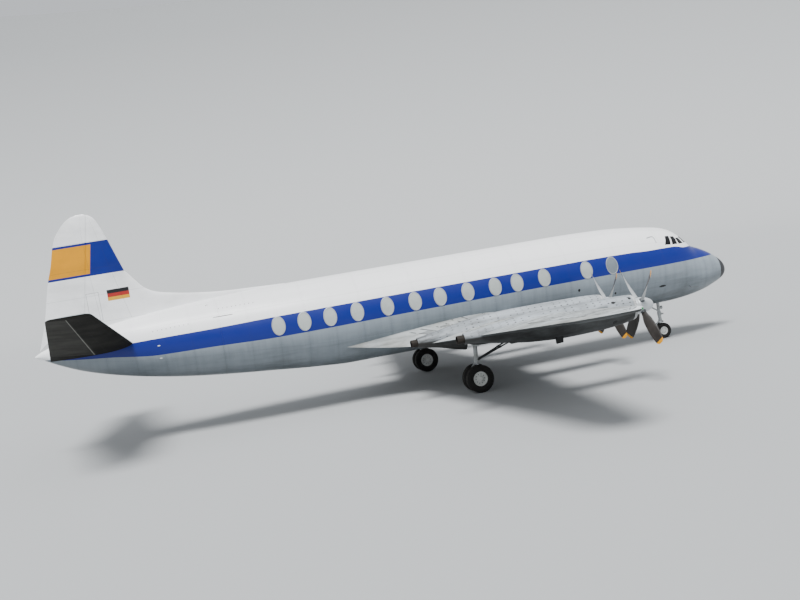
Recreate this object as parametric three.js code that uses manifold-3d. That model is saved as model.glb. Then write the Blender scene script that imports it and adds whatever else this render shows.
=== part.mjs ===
// Four-engined turboprop airliner, narrow body, parked on its own landing gear.
// Millimetres, +X to the nose, +Y to port, +Z up, origin on the ground under the middle of its length.
// A station is a distance behind the nose tip, so a bigger station lies further aft.

import * as THREE from "three";
import { mergeVertices } from "three/addons/utils/BufferGeometryUtils.js";
import Module from "manifold-3d";

const wasm = await Module();
wasm.setup();

// Driving dimensions of the whole aircraft
const LENGTH = 26110;
const HALF_SPAN = 14280;
const NOSE_X = LENGTH / 2;
const SEAT_GAP = 0.3;
const SWING_GAP = 12;
const PORT = 1;
const STARBOARD = -1;
const FAR = 3000;
const HIGH = 9000;

// Landing gear places and sizes
const MAIN_STATION = 11770;
const MAIN_Y = 3630;
const MAIN_TYRE_R = 475;
const MAIN_TYRE_WIDTH = 250;
const MAIN_WHEEL_Y = 215;
const NOSE_GEAR_STATION = 3030;
const NOSE_TYRE_R = 300;
const NOSE_TYRE_WIDTH = 175;
const NOSE_WHEEL_Y = 150;

// Propellers: four blades each, parked as a cross turned by 45 degrees
const PROP_R = 1525;
const SPINNER_R = 255;
const SHAFT_R = 60;
const INTAKE_R = 335;
const RIM_SHARE = 0.52;

// Jacking pads under the wings, just outboard of the inner engines, and under the nose
const JACK = { station: 10900, y: 4700, faceZ: 1840, topZ: 1900, r: 70 };
const NOSE_JACK = { station: 4950, faceZ: 1366, topZ: 1600, r: 60, sides: 24 };

// Engines: name, distance from the middle, hub station, hub height, nacelle table
const NACELLE_INNER = [
  // station, top, bottom, half width
  [6950, 2480, 1740, 370],
  [7060, 2510, 1705, 400],
  [7400, 2540, 1640, 440],
  [8200, 2565, 1520, 485],
  [9200, 2580, 1430, 515],
  [10300, 2580, 1395, 525],
  [11500, 2540, 1410, 520],
  [12300, 2420, 1560, 440],
  [13050, 2290, 1760, 310],
  [13650, 2200, 1860, 185],
];
const NACELLE_OUTER = [
  [7670, 2705, 1965, 370],
  [7780, 2725, 1935, 400],
  [8100, 2745, 1880, 430],
  [8800, 2760, 1815, 465],
  [9900, 2765, 1795, 475],
  [11000, 2735, 1860, 440],
  [12000, 2645, 2010, 330],
  [12700, 2560, 2130, 240],
  [13150, 2510, 2180, 180],
];
const ENGINES = [
  { name: "inner", y: 3630, hubStation: 6700, hubZ: 2110, table: NACELLE_INNER },
  { name: "outer", y: 7600, hubStation: 7420, hubZ: 2335, table: NACELLE_OUTER },
];
const SIDES = [
  { name: "left", sign: PORT },
  { name: "right", sign: STARBOARD },
];

// Colours of the finishes
const FINISHES = {
  white: [0xe8ecf2, 0.35, 0.1],
  grey: [0xa9b3b9, 0.45, 0.3],
  wing: [0xb9c3c8, 0.5, 0.4],
  black: [0x24242a, 0.6, 0.0],
  dark: [0x33332f, 0.6, 0.2],
  glass: [0x18202a, 0.1, 0.0],
  steel: [0x8d9296, 0.4, 0.8],
  leg: [0xb4b8ba, 0.4, 0.5],
  hub: [0xc9cbc8, 0.4, 0.5],
  tyre: [0x1c1c1d, 0.9, 0.0],
  exhaust: [0x5b5148, 0.5, 0.9],
};

const aircraft = new THREE.Group();

const X = (station) => NOSE_X - station;
const lerp = (a, b, t) => a + (b - a) * t;
const clamp01 = (t) => Math.min(1, Math.max(0, t));
const radians = (degrees) => (degrees * Math.PI) / 180;

// Straight-line reading of a table whose first column grows, for the other columns
function read(table, key) {
  const last = table.length - 1;
  if (key <= table[0][0]) return table[0].slice(1);
  if (key >= table[last][0]) return table[last].slice(1);
  const i = table.findIndex((row) => row[0] > key);
  const t = (key - table[i - 1][0]) / (table[i][0] - table[i - 1][0]);
  return table[i].slice(1).map((value, k) => lerp(table[i - 1][k + 1], value, t));
}

function solidOf(geometry) {
  let plain = geometry.index ? geometry.toNonIndexed() : geometry.clone();
  for (const name of Object.keys(plain.attributes))
    if (name !== "position") plain.deleteAttribute(name);
  plain = mergeVertices(plain, 1e-3);
  const vertProperties = new Float32Array(plain.attributes.position.array);
  const triVerts = new Uint32Array(plain.index.array);
  let volume = 0;
  const p = (i) => new THREE.Vector3().fromArray(vertProperties, 3 * i);
  for (let i = 0; i < triVerts.length; i += 3)
    volume += p(triVerts[i]).dot(p(triVerts[i + 1]).cross(p(triVerts[i + 2])));
  if (volume < 0)
    for (let i = 0; i < triVerts.length; i += 3)
      [triVerts[i], triVerts[i + 1]] = [triVerts[i + 1], triVerts[i]];
  return new wasm.Manifold(new wasm.Mesh({ numProp: 3, vertProperties, triVerts }));
}

function geometryOf(solid) {
  const mesh = solid.getMesh();
  const geometry = new THREE.BufferGeometry();
  geometry.setAttribute("position", new THREE.BufferAttribute(mesh.vertProperties, 3));
  geometry.setIndex(new THREE.BufferAttribute(mesh.triVerts, 1));
  geometry.computeVertexNormals();
  return geometry;
}

function addPiece(name, solid, finish) {
  const [color, roughness, metalness] = FINISHES[finish];
  const material = new THREE.MeshStandardMaterial({ color, roughness, metalness });
  const mesh = new THREE.Mesh(geometryOf(solid), material);
  mesh.name = name;
  aircraft.add(mesh);
}

// Closed skin through rings of equal point count, each end closed by a fan from its first point
function skin(rings) {
  const count = rings[0].length;
  const positions = rings.flat(2);
  const faces = [];
  for (let i = 0; i + 1 < rings.length; i++)
    for (let j = 0; j < count; j++) {
      const a = i * count + j;
      const b = i * count + ((j + 1) % count);
      faces.push(a, b, b + count, a, b + count, a + count);
    }
  const last = (rings.length - 1) * count;
  for (let j = 1; j + 1 < count; j++)
    faces.push(0, j + 1, j, last, last + j, last + j + 1);
  const geometry = new THREE.BufferGeometry();
  geometry.setAttribute("position", new THREE.Float32BufferAttribute(positions, 3));
  geometry.setIndex(faces);
  return solidOf(geometry);
}

function largest(solid) {
  return solid.decompose().sort((a, b) => b.volume() - a.volume())[0];
}

function box(x0, x1, y0, y1, z0, z1) {
  const geometry = new THREE.BoxGeometry(x1 - x0, y1 - y0, z1 - z0);
  return solidOf(geometry.translate((x0 + x1) / 2, (y0 + y1) / 2, (z0 + z1) / 2));
}

// Round bar or cone between two points, given as [x, y, z]
function bar(from, to, r0, r1 = r0, sides = 8) {
  const a = new THREE.Vector3(...from);
  const b = new THREE.Vector3(...to);
  const along = b.clone().sub(a);
  const geometry = new THREE.CylinderGeometry(r1, r0, along.length(), sides);
  const turn = new THREE.Quaternion().setFromUnitVectors(
    new THREE.Vector3(0, 1, 0), along.clone().normalize());
  geometry.applyQuaternion(turn);
  const middle = a.add(b).multiplyScalar(0.5);
  return solidOf(geometry.translate(middle.x, middle.y, middle.z));
}

// Body turned about a line along +X, from pairs of radius and place ahead of x
function turnedAhead(profile, x, y, z, sides) {
  const points = profile.map(([r, along]) => new THREE.Vector2(r, along));
  const geometry = new THREE.LatheGeometry(points, sides).rotateZ(-Math.PI / 2);
  return solidOf(geometry.translate(x, y, z));
}

// Plate with the outline given as [station, height], from side y0 to side y1
function sidePlate(outline, y0, y1) {
  const shape = new THREE.Shape(outline.map(([s, z]) => new THREE.Vector2(X(s), z)));
  const options = { depth: y1 - y0, bevelEnabled: false };
  const geometry = new THREE.ExtrudeGeometry(shape, options).rotateX(Math.PI / 2);
  return solidOf(geometry.translate(0, y1, 0));
}

// Fuselage: round in the cabin, with sections of two half widths by height at the ends
const FUSELAGE = [
  // station, top, bottom, half width
  [0, 2275, 2265, 5],
  [45, 2460, 2095, 165],
  [160, 2630, 1970, 312],
  [400, 2835, 1840, 492],
  [700, 3045, 1725, 650],
  [1050, 3235, 1610, 800],
  [1500, 3445, 1515, 950],
  [1750, 3700, 1475, 1035],
  [2000, 3965, 1445, 1115],
  [2280, 4160, 1420, 1200],
  [2650, 4300, 1402, 1295],
  [3100, 4385, 1393, 1390],
  [3800, 4480, 1386, 1500],
  [4700, 4565, 1384, 1585],
  [5700, 4610, 1384, 1618],
  [7000, 4634, 1384, 1625],
  [15300, 4634, 1384, 1625],
  [16700, 4634, 1475, 1600],
  [18200, 4615, 1630, 1520],
  [19700, 4570, 1790, 1385],
  [21200, 4490, 1990, 1180],
  [22500, 4385, 2230, 945],
  [23600, 4250, 2495, 710],
  [24600, 4075, 2815, 470],
  [25400, 3880, 3180, 255],
  [25900, 3715, 3455, 105],
  [26110, 3605, 3545, 22],
];
const FUSELAGE_SIDES = 24;

function fuselageSolid(grow = 0) {
  const rings = FUSELAGE.map(([station, top, bottom, half], row) => {
    const edge = row === 0 ? grow : row === FUSELAGE.length - 1 ? -grow : 0;
    const ring = [];
    for (let i = 0; i < FUSELAGE_SIDES; i++) {
      const angle = (2 * Math.PI * i) / FUSELAGE_SIDES;
      const wide = Math.max(1, half + grow);
      const high = Math.max(1, (top - bottom) / 2 + grow);
      const z = (top + bottom) / 2 + high * Math.sin(angle);
      ring.push([X(station) + edge, wide * Math.cos(angle), z]);
    }
    return ring;
  });
  return skin(rings);
}

// Wing planform: straight edges, a round tip, and a root fillet that runs aft and up the side
const WING = {
  leadingRoot: 9100,
  leadingTip: 10200,
  trailingRoot: 13760,
  trailingTip: 11800,
  chordZ: 1680,
  dihedral: radians(5.5),
  thickRoot: 0.15,
  thickTip: 0.12,
  incidenceRoot: radians(2.8),
  incidenceTip: radians(0.5),
  tipRound: 1100,
  filletFrom: 1300,
  filletWidth: 850,
  filletAft: 2300,
  filletRise: 330,
  filletHump: 380,
};
const HALF_SECTION_POINTS = 8;

// Thickness of a four-digit aerofoil with a closed trailing edge, for a chord and thickness of one
function thickness(t) {
  const curve = 0.2969 * Math.sqrt(t) - 0.126 * t - 0.3516 * t * t;
  return 5 * (curve + 0.2843 * t ** 3 - 0.1036 * t ** 4);
}
const MOST_THICKNESS = 0.5;

// Ring of an aerofoil from its trailing edge over the top to the nose and back below
function aerofoil(place) {
  const ring = [];
  for (let i = 0; i < 2 * HALF_SECTION_POINTS; i++) {
    const turn = (Math.PI * i) / HALF_SECTION_POINTS;
    const t = 0.5 * (1 + Math.cos(turn));
    ring.push(place(t, i <= HALF_SECTION_POINTS ? thickness(t) : -thickness(t)));
  }
  return ring;
}

function wingSection(y) {
  const span = clamp01(y / HALF_SPAN);
  let leading = lerp(WING.leadingRoot, WING.leadingTip, span);
  let trailing = lerp(WING.trailingRoot, WING.trailingTip, span);
  const outer = clamp01((y - (HALF_SPAN - WING.tipRound)) / WING.tipRound);
  const round = Math.sqrt(Math.max(1 - outer * outer, 0.0004));
  const axis = lerp(leading, trailing, 0.48);
  leading = lerp(axis, leading, round);
  trailing = lerp(axis, trailing, round);
  const fillet = clamp01(1 - (y - WING.filletFrom) / WING.filletWidth) ** 2;
  const plain = trailing;
  trailing += WING.filletAft * fillet;
  return {
    leading,
    trailing,
    plain,
    fillet,
    z: WING.chordZ + y * Math.tan(WING.dihedral),
    thick: lerp(WING.thickRoot, WING.thickTip, span) * (plain - leading),
    incidence: lerp(WING.incidenceRoot, WING.incidenceTip, span),
  };
}

// Point of the wing at a share of the chord t, with h from the aerofoil, grown by a few tenths
function wingPoint(sign, y, t, h, grow) {
  const w = wingSection(y);
  const station = lerp(w.leading, w.trailing, t);
  const drop = (station - lerp(w.leading, w.plain, 0.35)) * Math.tan(w.incidence);
  let z = w.z - drop * (1 - w.fillet) + h * w.thick;
  z += w.fillet * WING.filletRise * t;
  if (h > 0) z += (w.fillet * WING.filletHump * h) / MOST_THICKNESS;
  const edge = t > 0.999 ? 20 * grow : grow * (2 * t - 1);
  return [X(station) - edge, sign * y, z + Math.sign(h) * grow];
}

const WING_STATIONS = [0.2, 700, 1300, 1400, 1520, 1660, 1820, 2000, 2150, 5600, 9400,
  HALF_SPAN - WING.tipRound, 13600, 13900, 14110, 14230, HALF_SPAN];

function wingSolid(sign, grow = 0) {
  return skin(WING_STATIONS.map((y) => aerofoil((t, h) => wingPoint(sign, y, t, h, grow))));
}

// Line that a control surface turns about, through points that each give the radius of its nose
function hingeLine(points) {
  const first = new THREE.Vector3(...points[0].point);
  const run = new THREE.Vector3(...points[points.length - 1].point).sub(first);
  const along = run.clone().normalize();
  const ahead = new THREE.Vector3(1, 0, 0).addScaledVector(along, -along.x).normalize();
  const across = along.clone().cross(ahead);
  const noses = points.map(({ point, r }) => [new THREE.Vector3(...point).distanceTo(first), r]);
  const at = (distance, forward, side) => first.clone().addScaledVector(along, distance)
    .addScaledVector(ahead, forward).addScaledVector(across, side).toArray();
  return { length: run.length(), noses, at };
}

// Space of a control surface: a round nose about its hinge line and a slab from the line to the rear
// The slab reaches so far to both sides of the line, across the wing for "z" and the fin for "y"
const NOSE_SIDES = 16;
const NOSE_SHARE = 0.97;

function surfaceSpace(line, half, across, gap) {
  const nose = skin(line.noses.map(([distance, r]) => {
    const ring = [];
    for (let i = 0; i < NOSE_SIDES; i++) {
      const angle = (2 * Math.PI * i) / NOSE_SIDES;
      ring.push(line.at(distance, (r + gap) * Math.cos(angle), (r + gap) * Math.sin(angle)));
    }
    return ring;
  }));
  const [dy, dz] = across === "z" ? [0, half] : [half, 0];
  const ring = ([x, y, z]) => [
    [x + gap, y + dy, z + dz],
    [x - FAR, y + dy, z + dz],
    [x - FAR, y - dy, z - dz],
    [x + gap, y - dy, z - dz],
  ];
  return nose.add(skin([ring(line.at(0, 0, 0)), ring(line.at(line.length, 0, 0))]));
}

// Hinges of a control surface: an arm of the fixed part reaches into a slot of the surface's nose
// and holds a cross pin on the hinge line, which turns in a bore of the surface
const HINGE = {
  armR: 18,
  hold: 60,
  pinR: 12,
  pinHalf: 62,
  boreR: 13.05,
  boreHalf: 64,
  slotHalf: 26,
  slotAft: 42,
  slotAhead: 300,
  slotAcross: 300,
  sides: 8,
};

function hinges(line, shares, gap) {
  let arms = null;
  let slots = null;
  for (const share of shares) {
    const middle = share * line.length;
    const reach = read(line.noses, middle)[0] + gap + HINGE.hold;
    const pin = (r, half) =>
      bar(line.at(middle - half, 0, 0), line.at(middle + half, 0, 0), r, r, HINGE.sides);
    const arm = bar(line.at(middle, 0, 0), line.at(middle, reach, 0), HINGE.armR, HINGE.armR, 6);
    const ring = (distance) => [
      line.at(distance, -HINGE.slotAft, -HINGE.slotAcross),
      line.at(distance, HINGE.slotAhead, -HINGE.slotAcross),
      line.at(distance, HINGE.slotAhead, HINGE.slotAcross),
      line.at(distance, -HINGE.slotAft, HINGE.slotAcross),
    ];
    const slot = skin([ring(middle - HINGE.slotHalf), ring(middle + HINGE.slotHalf)]);
    const held = arm.add(pin(HINGE.pinR, HINGE.pinHalf));
    const freed = slot.add(pin(HINGE.boreR, HINGE.boreHalf));
    arms = arms ? arms.add(held) : held;
    slots = slots ? slots.add(freed) : freed;
  }
  return { arms, slots };
}

// Space over an outline of [x, side] corners, whose walls stand square to a surface with dihedral
function leaningPrism(sign, corners, dihedral, heightAt) {
  const ring = (z) =>
    corners.map(([x, y]) => [x, sign * (y - (z - heightAt(y)) * Math.tan(dihedral)), z]);
  return skin([ring(0), ring(HIGH)]);
}

// Flaps and ailerons: name, inner side, outer side, share of the chord in front of them
const FLAP_FRONT = 0.74;
const FLAPS = [
  { name: "flap_inner", from: 2160, to: 3180 },
  { name: "flap_middle", from: 4090, to: 7340 },
  { name: "flap_outer", from: 7870, to: 9480 },
];
const FLAP_SPACE = { bottom: 1000, top: 4000, back: 13900 };
const AILERON = { from: 9560, to: 13100, front: 0.76, gap: 10, half: 800, hingeShares: [0.14, 0.82] };
const HINGE_RUN_OUT = 100;

function flapSpace(sign, flap, grow) {
  const edge = (y) => {
    const { leading, plain } = wingSection(y);
    return X(lerp(leading, plain, FLAP_FRONT));
  };
  const ring = (z) => [
    [edge(flap.from) + grow, sign * (flap.from - grow), z],
    [edge(flap.to) + grow, sign * (flap.to + grow), z],
    [X(FLAP_SPACE.back), sign * (flap.to + grow), z],
    [X(FLAP_SPACE.back), sign * (flap.from - grow), z],
  ];
  return skin([ring(FLAP_SPACE.bottom), ring(FLAP_SPACE.top)]);
}

function aileronSpan(sign, gap) {
  const heightAt = (y) => WING.chordZ + y * Math.tan(WING.dihedral);
  const corners = [
    [NOSE_X, AILERON.from - gap],
    [-NOSE_X, AILERON.from - gap],
    [-NOSE_X, AILERON.to + gap],
    [NOSE_X, AILERON.to + gap],
  ];
  return leaningPrism(sign, corners, WING.dihedral, heightAt);
}

function addWing({ name, sign }, fuselageRoom) {
  const whole = wingSolid(sign);
  let wing = whole;
  for (const flap of FLAPS) {
    wing = wing.subtract(flapSpace(sign, flap, SEAT_GAP));
    addPiece(`${flap.name}_${name}`, whole.intersect(flapSpace(sign, flap, 0)), "wing");
  }
  const line = hingeLine([AILERON.from - HINGE_RUN_OUT, AILERON.to + HINGE_RUN_OUT].map((y) => ({
    point: wingPoint(sign, y, AILERON.front, 0, 0),
    r: NOSE_SHARE * wingSection(y).thick * thickness(AILERON.front),
  })));
  const space = (gap) =>
    surfaceSpace(line, AILERON.half, "z", gap).intersect(aileronSpan(sign, gap));
  const held = hinges(line, AILERON.hingeShares, AILERON.gap);
  addPiece(`aileron_${name}`, whole.intersect(space(0)).subtract(held.slots), "wing");
  const [padX, padY] = [X(JACK.station), sign * JACK.y];
  const pad = bar([padX, padY, JACK.faceZ], [padX, padY, JACK.topZ], JACK.r);
  wing = wing.subtract(space(AILERON.gap)).subtract(fuselageRoom).add(pad).add(held.arms);
  addPiece(`wing_${name}`, wing, "wing");
}

// Fin and rudder: sections from the base to the round top, with a long dorsal fillet ahead
const FIN = [
  // height, leading station, trailing station, thickness
  [3500, 21870, 26010, 330],
  [4790, 22300, 25570, 300],
  [5980, 22690, 25270, 262],
  [6470, 22850, 25100, 240],
  [7430, 23160, 24810, 180],
  [7750, 23290, 24590, 150],
  [7980, 23420, 24360, 115],
  [8100, 23585, 24150, 80],
  [8150, 23720, 23960, 30],
];
const RUDDER = {
  hingeLow: [24430, 3990],
  hingeHigh: [23700, 7900],
  levels: [3690, 4790, 5980, 7430, 7750, 7980, 8150],
  leastNose: 25,
  footGap: 40,
  footFront: 22000,
  footBack: [27000, 3600],
  half: 800,
  hingeShares: [0.26, 0.78],
};
const DORSAL = [
  // station, top, half width at its foot
  [17300, 4640, 20],
  [18200, 4680, 45],
  [19500, 4745, 70],
  [20500, 4860, 85],
  [21300, 5000, 95],
  [21800, 5130, 105],
  [22150, 5340, 115],
  [22400, 5640, 120],
  [22620, 5930, 120],
  [22900, 6200, 120],
];
const DORSAL_FOOT = 4000;
const DORSAL_SECTION = [
  // share of the half width, share of the height
  [1, 0],
  [0.9, 0.55],
  [0.55, 0.85],
  [0.25, 0.97],
  [0, 1],
];

function finSolid() {
  const rings = FIN.map(([z, leading, trailing, thick]) =>
    aerofoil((t, h) => [X(lerp(leading, trailing, t)), h * thick, z]));
  return skin(rings);
}

function dorsalSolid() {
  const rings = DORSAL.map(([station, top, half]) => {
    const point = (sign) => ([w, f]) => [X(station), sign * half * w, lerp(DORSAL_FOOT, top, f)];
    const down = DORSAL_SECTION.slice(0, -1).reverse();
    return [...DORSAL_SECTION.map(point(PORT)), ...down.map(point(STARBOARD))];
  });
  return skin(rings);
}

// Point of the rudder's hinge line at a height, with the radius of its nose there
function rudderNose(z) {
  const [s0, z0] = RUDDER.hingeLow;
  const [s1, z1] = RUDDER.hingeHigh;
  const station = lerp(s0, s1, (z - z0) / (z1 - z0));
  const [leading, trailing, thick] = read(FIN, z);
  const t = clamp01((station - leading) / (trailing - leading));
  return { point: [X(station), 0, z], r: Math.max(RUDDER.leastNose, NOSE_SHARE * thick * thickness(t)) };
}

function addFinAndRudder(fuselageRoom) {
  const whole = finSolid();
  const line = hingeLine(RUDDER.levels.map(rudderNose));
  const foot = FUSELAGE.filter(([station]) => station > RUDDER.footFront)
    .map(([station, top]) => [station, top + RUDDER.footGap]);
  const roof = [[RUDDER.footBack[0], HIGH], [foot[0][0], HIGH]];
  const above = sidePlate([...foot, RUDDER.footBack, ...roof], -RUDDER.half, RUDDER.half);
  const held = hinges(line, RUDDER.hingeShares, SWING_GAP);
  const rudder = whole.intersect(surfaceSpace(line, RUDDER.half, "y", 0)).intersect(above);
  addPiece("rudder", rudder.subtract(held.slots), "white");
  const room = surfaceSpace(line, RUDDER.half, "y", SWING_GAP).add(fuselageRoom);
  addPiece("fin", largest(whole.add(dorsalSolid()).subtract(room)).add(held.arms), "white");
}

// Tailplane: straight edges with a blunt round tip, set well up
const TAIL = {
  span: 6095,
  leading: [22700, 23610],
  trailing: [25650, 24860],
  hinge: [24080, 24310],
  rootY: 500,
  rootZ: 3450,
  dihedral: radians(15),
  thick: [320, 115],
  tipRound: 260,
};
const TAIL_STATIONS = [150, 3200, 5835, 5930, 6030, 6080, 6095];
const ELEVATOR = {
  from: 640,
  to: 5880,
  innerAft: 1000,
  levels: [440, 3200, 5835, 6000],
  half: 900,
  hingeShares: [0.16, 0.82],
};

function tailHeight(y) {
  return TAIL.rootZ + (y - TAIL.rootY) * Math.tan(TAIL.dihedral);
}

function tailSection(y) {
  const span = clamp01(y / TAIL.span);
  const leading = lerp(...TAIL.leading, span);
  const trailing = lerp(...TAIL.trailing, span);
  const outer = clamp01((y - (TAIL.span - TAIL.tipRound)) / TAIL.tipRound);
  const round = Math.sqrt(Math.max(1 - outer * outer, 0.0025));
  const shrink = 0.72 + 0.28 * round;
  const middle = (leading + trailing) / 2;
  return {
    leading: lerp(middle, leading, shrink),
    trailing: lerp(middle, trailing, shrink),
    z: tailHeight(y),
    thick: lerp(...TAIL.thick, span) * round,
  };
}

function tailPoint(sign, y, t, h) {
  const w = tailSection(y);
  return [X(lerp(w.leading, w.trailing, t)), sign * y, w.z + h * w.thick];
}

// Point of the elevator's hinge line at a side, with the radius of its nose there
function elevatorNose(sign, y) {
  const w = tailSection(y);
  const station = lerp(...TAIL.hinge, y / TAIL.span);
  const t = (station - w.leading) / (w.trailing - w.leading);
  return { point: [X(station), sign * y, w.z], r: NOSE_SHARE * w.thick * thickness(t) };
}

// Outline of the elevator from above: its inner end runs outwards from just behind the hinge
function elevatorSpan(sign, gap) {
  const hinge = X(TAIL.hinge[0]);
  const corners = [
    [hinge + 400, ELEVATOR.from - gap],
    [hinge - 200, ELEVATOR.from - gap],
    [X(25800), ELEVATOR.innerAft - gap],
    [X(25800), ELEVATOR.to + gap],
    [hinge + 400, ELEVATOR.to + gap],
  ];
  return leaningPrism(sign, corners, TAIL.dihedral, tailHeight);
}

function addTailplane({ name, sign }, room) {
  const whole = skin(TAIL_STATIONS.map((y) => aerofoil((t, h) => tailPoint(sign, y, t, h))));
  const line = hingeLine(ELEVATOR.levels.map((y) => elevatorNose(sign, y)));
  const space = (gap) =>
    surfaceSpace(line, ELEVATOR.half, "z", gap).intersect(elevatorSpan(sign, gap));
  const held = hinges(line, ELEVATOR.hingeShares, SWING_GAP);
  const fixed = whole.subtract(space(SWING_GAP)).subtract(room);
  addPiece(`tailplane_${name}`, fixed.add(held.arms), "dark");
  addPiece(`elevator_${name}`, whole.intersect(space(0)).subtract(held.slots), "dark");
}

// Nacelle: sections along the engine, hollow at the front for the intake ring and the engine
const NACELLE_SIDES = 16;
const ROUND_SIDES = 16;
const SHAFT_SIDES = 20;
const PIPE = { r: 125, wall: 16, inside: 120, outside: 230 };
const ENGINE = { ahead: 260, length: 1500, noseR: 190, noseAhead: 170 };
const BAY = { front: 9500, back: 12050, half: 400, bottom: 1000, top: 1745 };

function nacelleSolid(table, y, grow = 0) {
  const rings = table.map(([station, top, bottom, half]) => {
    const ring = [];
    for (let i = 0; i < NACELLE_SIDES; i++) {
      const angle = (2 * Math.PI * i) / NACELLE_SIDES;
      const z = (top + bottom) / 2 + ((top - bottom) / 2 + grow) * Math.sin(angle);
      ring.push([X(station), y + (half + grow) * Math.cos(angle), z]);
    }
    return ring;
  });
  return skin(rings);
}

function addEngine(side, engine) {
  const name = `${side.name}_${engine.name}`;
  const y = side.sign * engine.y;
  const z = engine.hubZ;
  const lip = engine.table[0][0];
  const last = engine.table[engine.table.length - 1];
  const tailZ = (last[1] + last[2]) / 2;
  const face = X(lip + ENGINE.ahead);
  const back = face - ENGINE.length;

  let nacelle = nacelleSolid(engine.table, y);
  const bore = (r, from, to, height) =>
    turnedAhead([[0, 0], [r, 0], [r, to - from], [0, to - from]], from, y, height, ROUND_SIDES);
  nacelle = nacelle.subtract(bore(INTAKE_R, back - SEAT_GAP, X(lip) + 10, z));
  nacelle = nacelle.subtract(bore(PIPE.r, X(last[0]) - 10, X(last[0]) + PIPE.inside, tailZ));
  nacelle = nacelle.subtract(wingSolid(side.sign, SEAT_GAP));
  if (engine.name === "inner")
    nacelle = nacelle.subtract(
      box(X(BAY.back), X(BAY.front), y - BAY.half, y + BAY.half, BAY.bottom, BAY.top));
  addPiece(`nacelle_${name}`, nacelle, "wing");

  const r = INTAKE_R - SEAT_GAP;
  const block = turnedAhead([
    [0, 0], [r, 0], [r, ENGINE.length], [ENGINE.noseR + 30, ENGINE.length],
    [ENGINE.noseR - 20, ENGINE.length + ENGINE.noseAhead], [0, ENGINE.length + ENGINE.noseAhead],
  ], back, y, z, ROUND_SIDES);
  const hubX = X(engine.hubStation);
  const shaft = bar([face, y, z], [hubX - 20, y, z], SHAFT_R, SHAFT_R, SHAFT_SIDES);
  addPiece(`engine_${name}`, block.add(shaft).subtract(wingSolid(side.sign, SEAT_GAP)), "steel");

  const outer = PIPE.r - SEAT_GAP;
  const inner = PIPE.r - PIPE.wall;
  const start = PIPE.inside - SEAT_GAP;
  const pipe = turnedAhead(
    [[outer, start], [outer, -PIPE.outside], [inner, -PIPE.outside], [inner, start], [outer, start]],
    X(last[0]), y, tailZ, ROUND_SIDES);
  addPiece(`jet_pipe_${name}`, pipe, "exhaust");
  addPiece(`propeller_${name}`, propellerSolid(hubX, y, z), "dark");
}

// Blade sections: share of the radius, chord, thickness, pitch in degrees. The upper blade moves to port.
const BLADE = [
  [0.13, 130, 118, 62],
  [0.24, 178, 80, 57],
  [0.42, 296, 50, 46],
  [0.70, 342, 28, 33],
  [0.92, 300, 17, 26.5],
  [1.0, 190, 9, 24.5],
];
const BLADE_POINTS = 4;

function bladeSolid() {
  const rings = BLADE.map(([share, chord, thick, pitch]) => {
    const ring = [];
    const turn = radians(pitch);
    for (let i = 0; i < 2 * BLADE_POINTS; i++) {
      const t = 0.5 * (1 + Math.cos((Math.PI * i) / BLADE_POINTS));
      const across = (t - 0.42) * chord;
      const h = (i <= BLADE_POINTS ? -0.38 : 0.62) * 2 * thickness(t) * thick;
      ring.push([
        -across * Math.sin(turn) + h * Math.cos(turn),
        -across * Math.cos(turn) - h * Math.sin(turn),
        share * PROP_R,
      ]);
    }
    return ring;
  });
  return skin(rings);
}

function propellerSolid(x, y, z) {
  const spinner = [
    [0, -205], [SPINNER_R, -205], [SPINNER_R, -60], [236, 90], [186, 230], [100, 350], [0, 425],
  ];
  let solid = turnedAhead(spinner, 0, 0, 0, ROUND_SIDES);
  solid = solid.subtract(bar([-300, 0, 0], [-15, 0, 0], SHAFT_R + 0.9, SHAFT_R + 0.9, SHAFT_SIDES));
  for (let i = 0; i < 4; i++) solid = solid.add(bladeSolid().rotate([45 + 90 * i, 0, 0]));
  return solid.translate([x, y, z]);
}

// Wheels: flats of the faceted tyre touch the ground, so its corners lie a little further out
const WHEEL_SIDES = 20;
const FLAT = 1 / Math.cos(Math.PI / WHEEL_SIDES);

function wheelBody(profile, x, y, z) {
  const points = profile.map(([r, along]) => new THREE.Vector2(r * FLAT, along));
  const geometry = new THREE.LatheGeometry(points, WHEEL_SIDES).rotateY(Math.PI / WHEEL_SIDES);
  return solidOf(geometry.translate(x, y, z));
}

// Tyre with its outline as radius and place across the tread
function tyreSolid(x, y, z, r, width, rimR) {
  const w = width / 2;
  const wall = rimR + (r - rimR) * 0.55;
  const half = [[rimR, w * 0.7], [wall, w], [r * 0.955, w * 0.82], [r, w * 0.42]];
  const mirrored = half.map(([radius, along]) => [radius, -along]);
  return wheelBody([...mirrored, ...half.reverse(), mirrored[0]], x, y, z);
}

// Two wheels on the live axle between them, one body
function wheelPairSolid(x, y, z, rimR, width, offset, axleR) {
  const w = width * 0.31;
  const half = [
    [0, offset + w * 0.7], [rimR * 0.3, offset + w * 0.7], [rimR * 0.36, offset + w * 0.2],
    [rimR * 0.8, offset + w * 0.1], [rimR * 0.9, offset + w], [rimR, offset + w],
    [rimR, offset - w], [axleR / FLAT, offset - w],
  ];
  const mirrored = half.map(([r, along]) => [r, -along]).reverse();
  return wheelBody([...half, ...mirrored].reverse(), x, y, z);
}

function addWheels(name, x, y, r, width, offset, axleR) {
  const rimR = r * RIM_SHARE;
  addPiece(`${name}_wheels`, wheelPairSolid(x, y, r, rimR - SEAT_GAP, width, offset, axleR), "hub");
  addPiece(`${name}_tyre_port`, tyreSolid(x, y + offset, r, r, width, rimR), "tyre");
  addPiece(`${name}_tyre_starboard`, tyreSolid(x, y - offset, r, r, width, rimR), "tyre");
}

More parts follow.
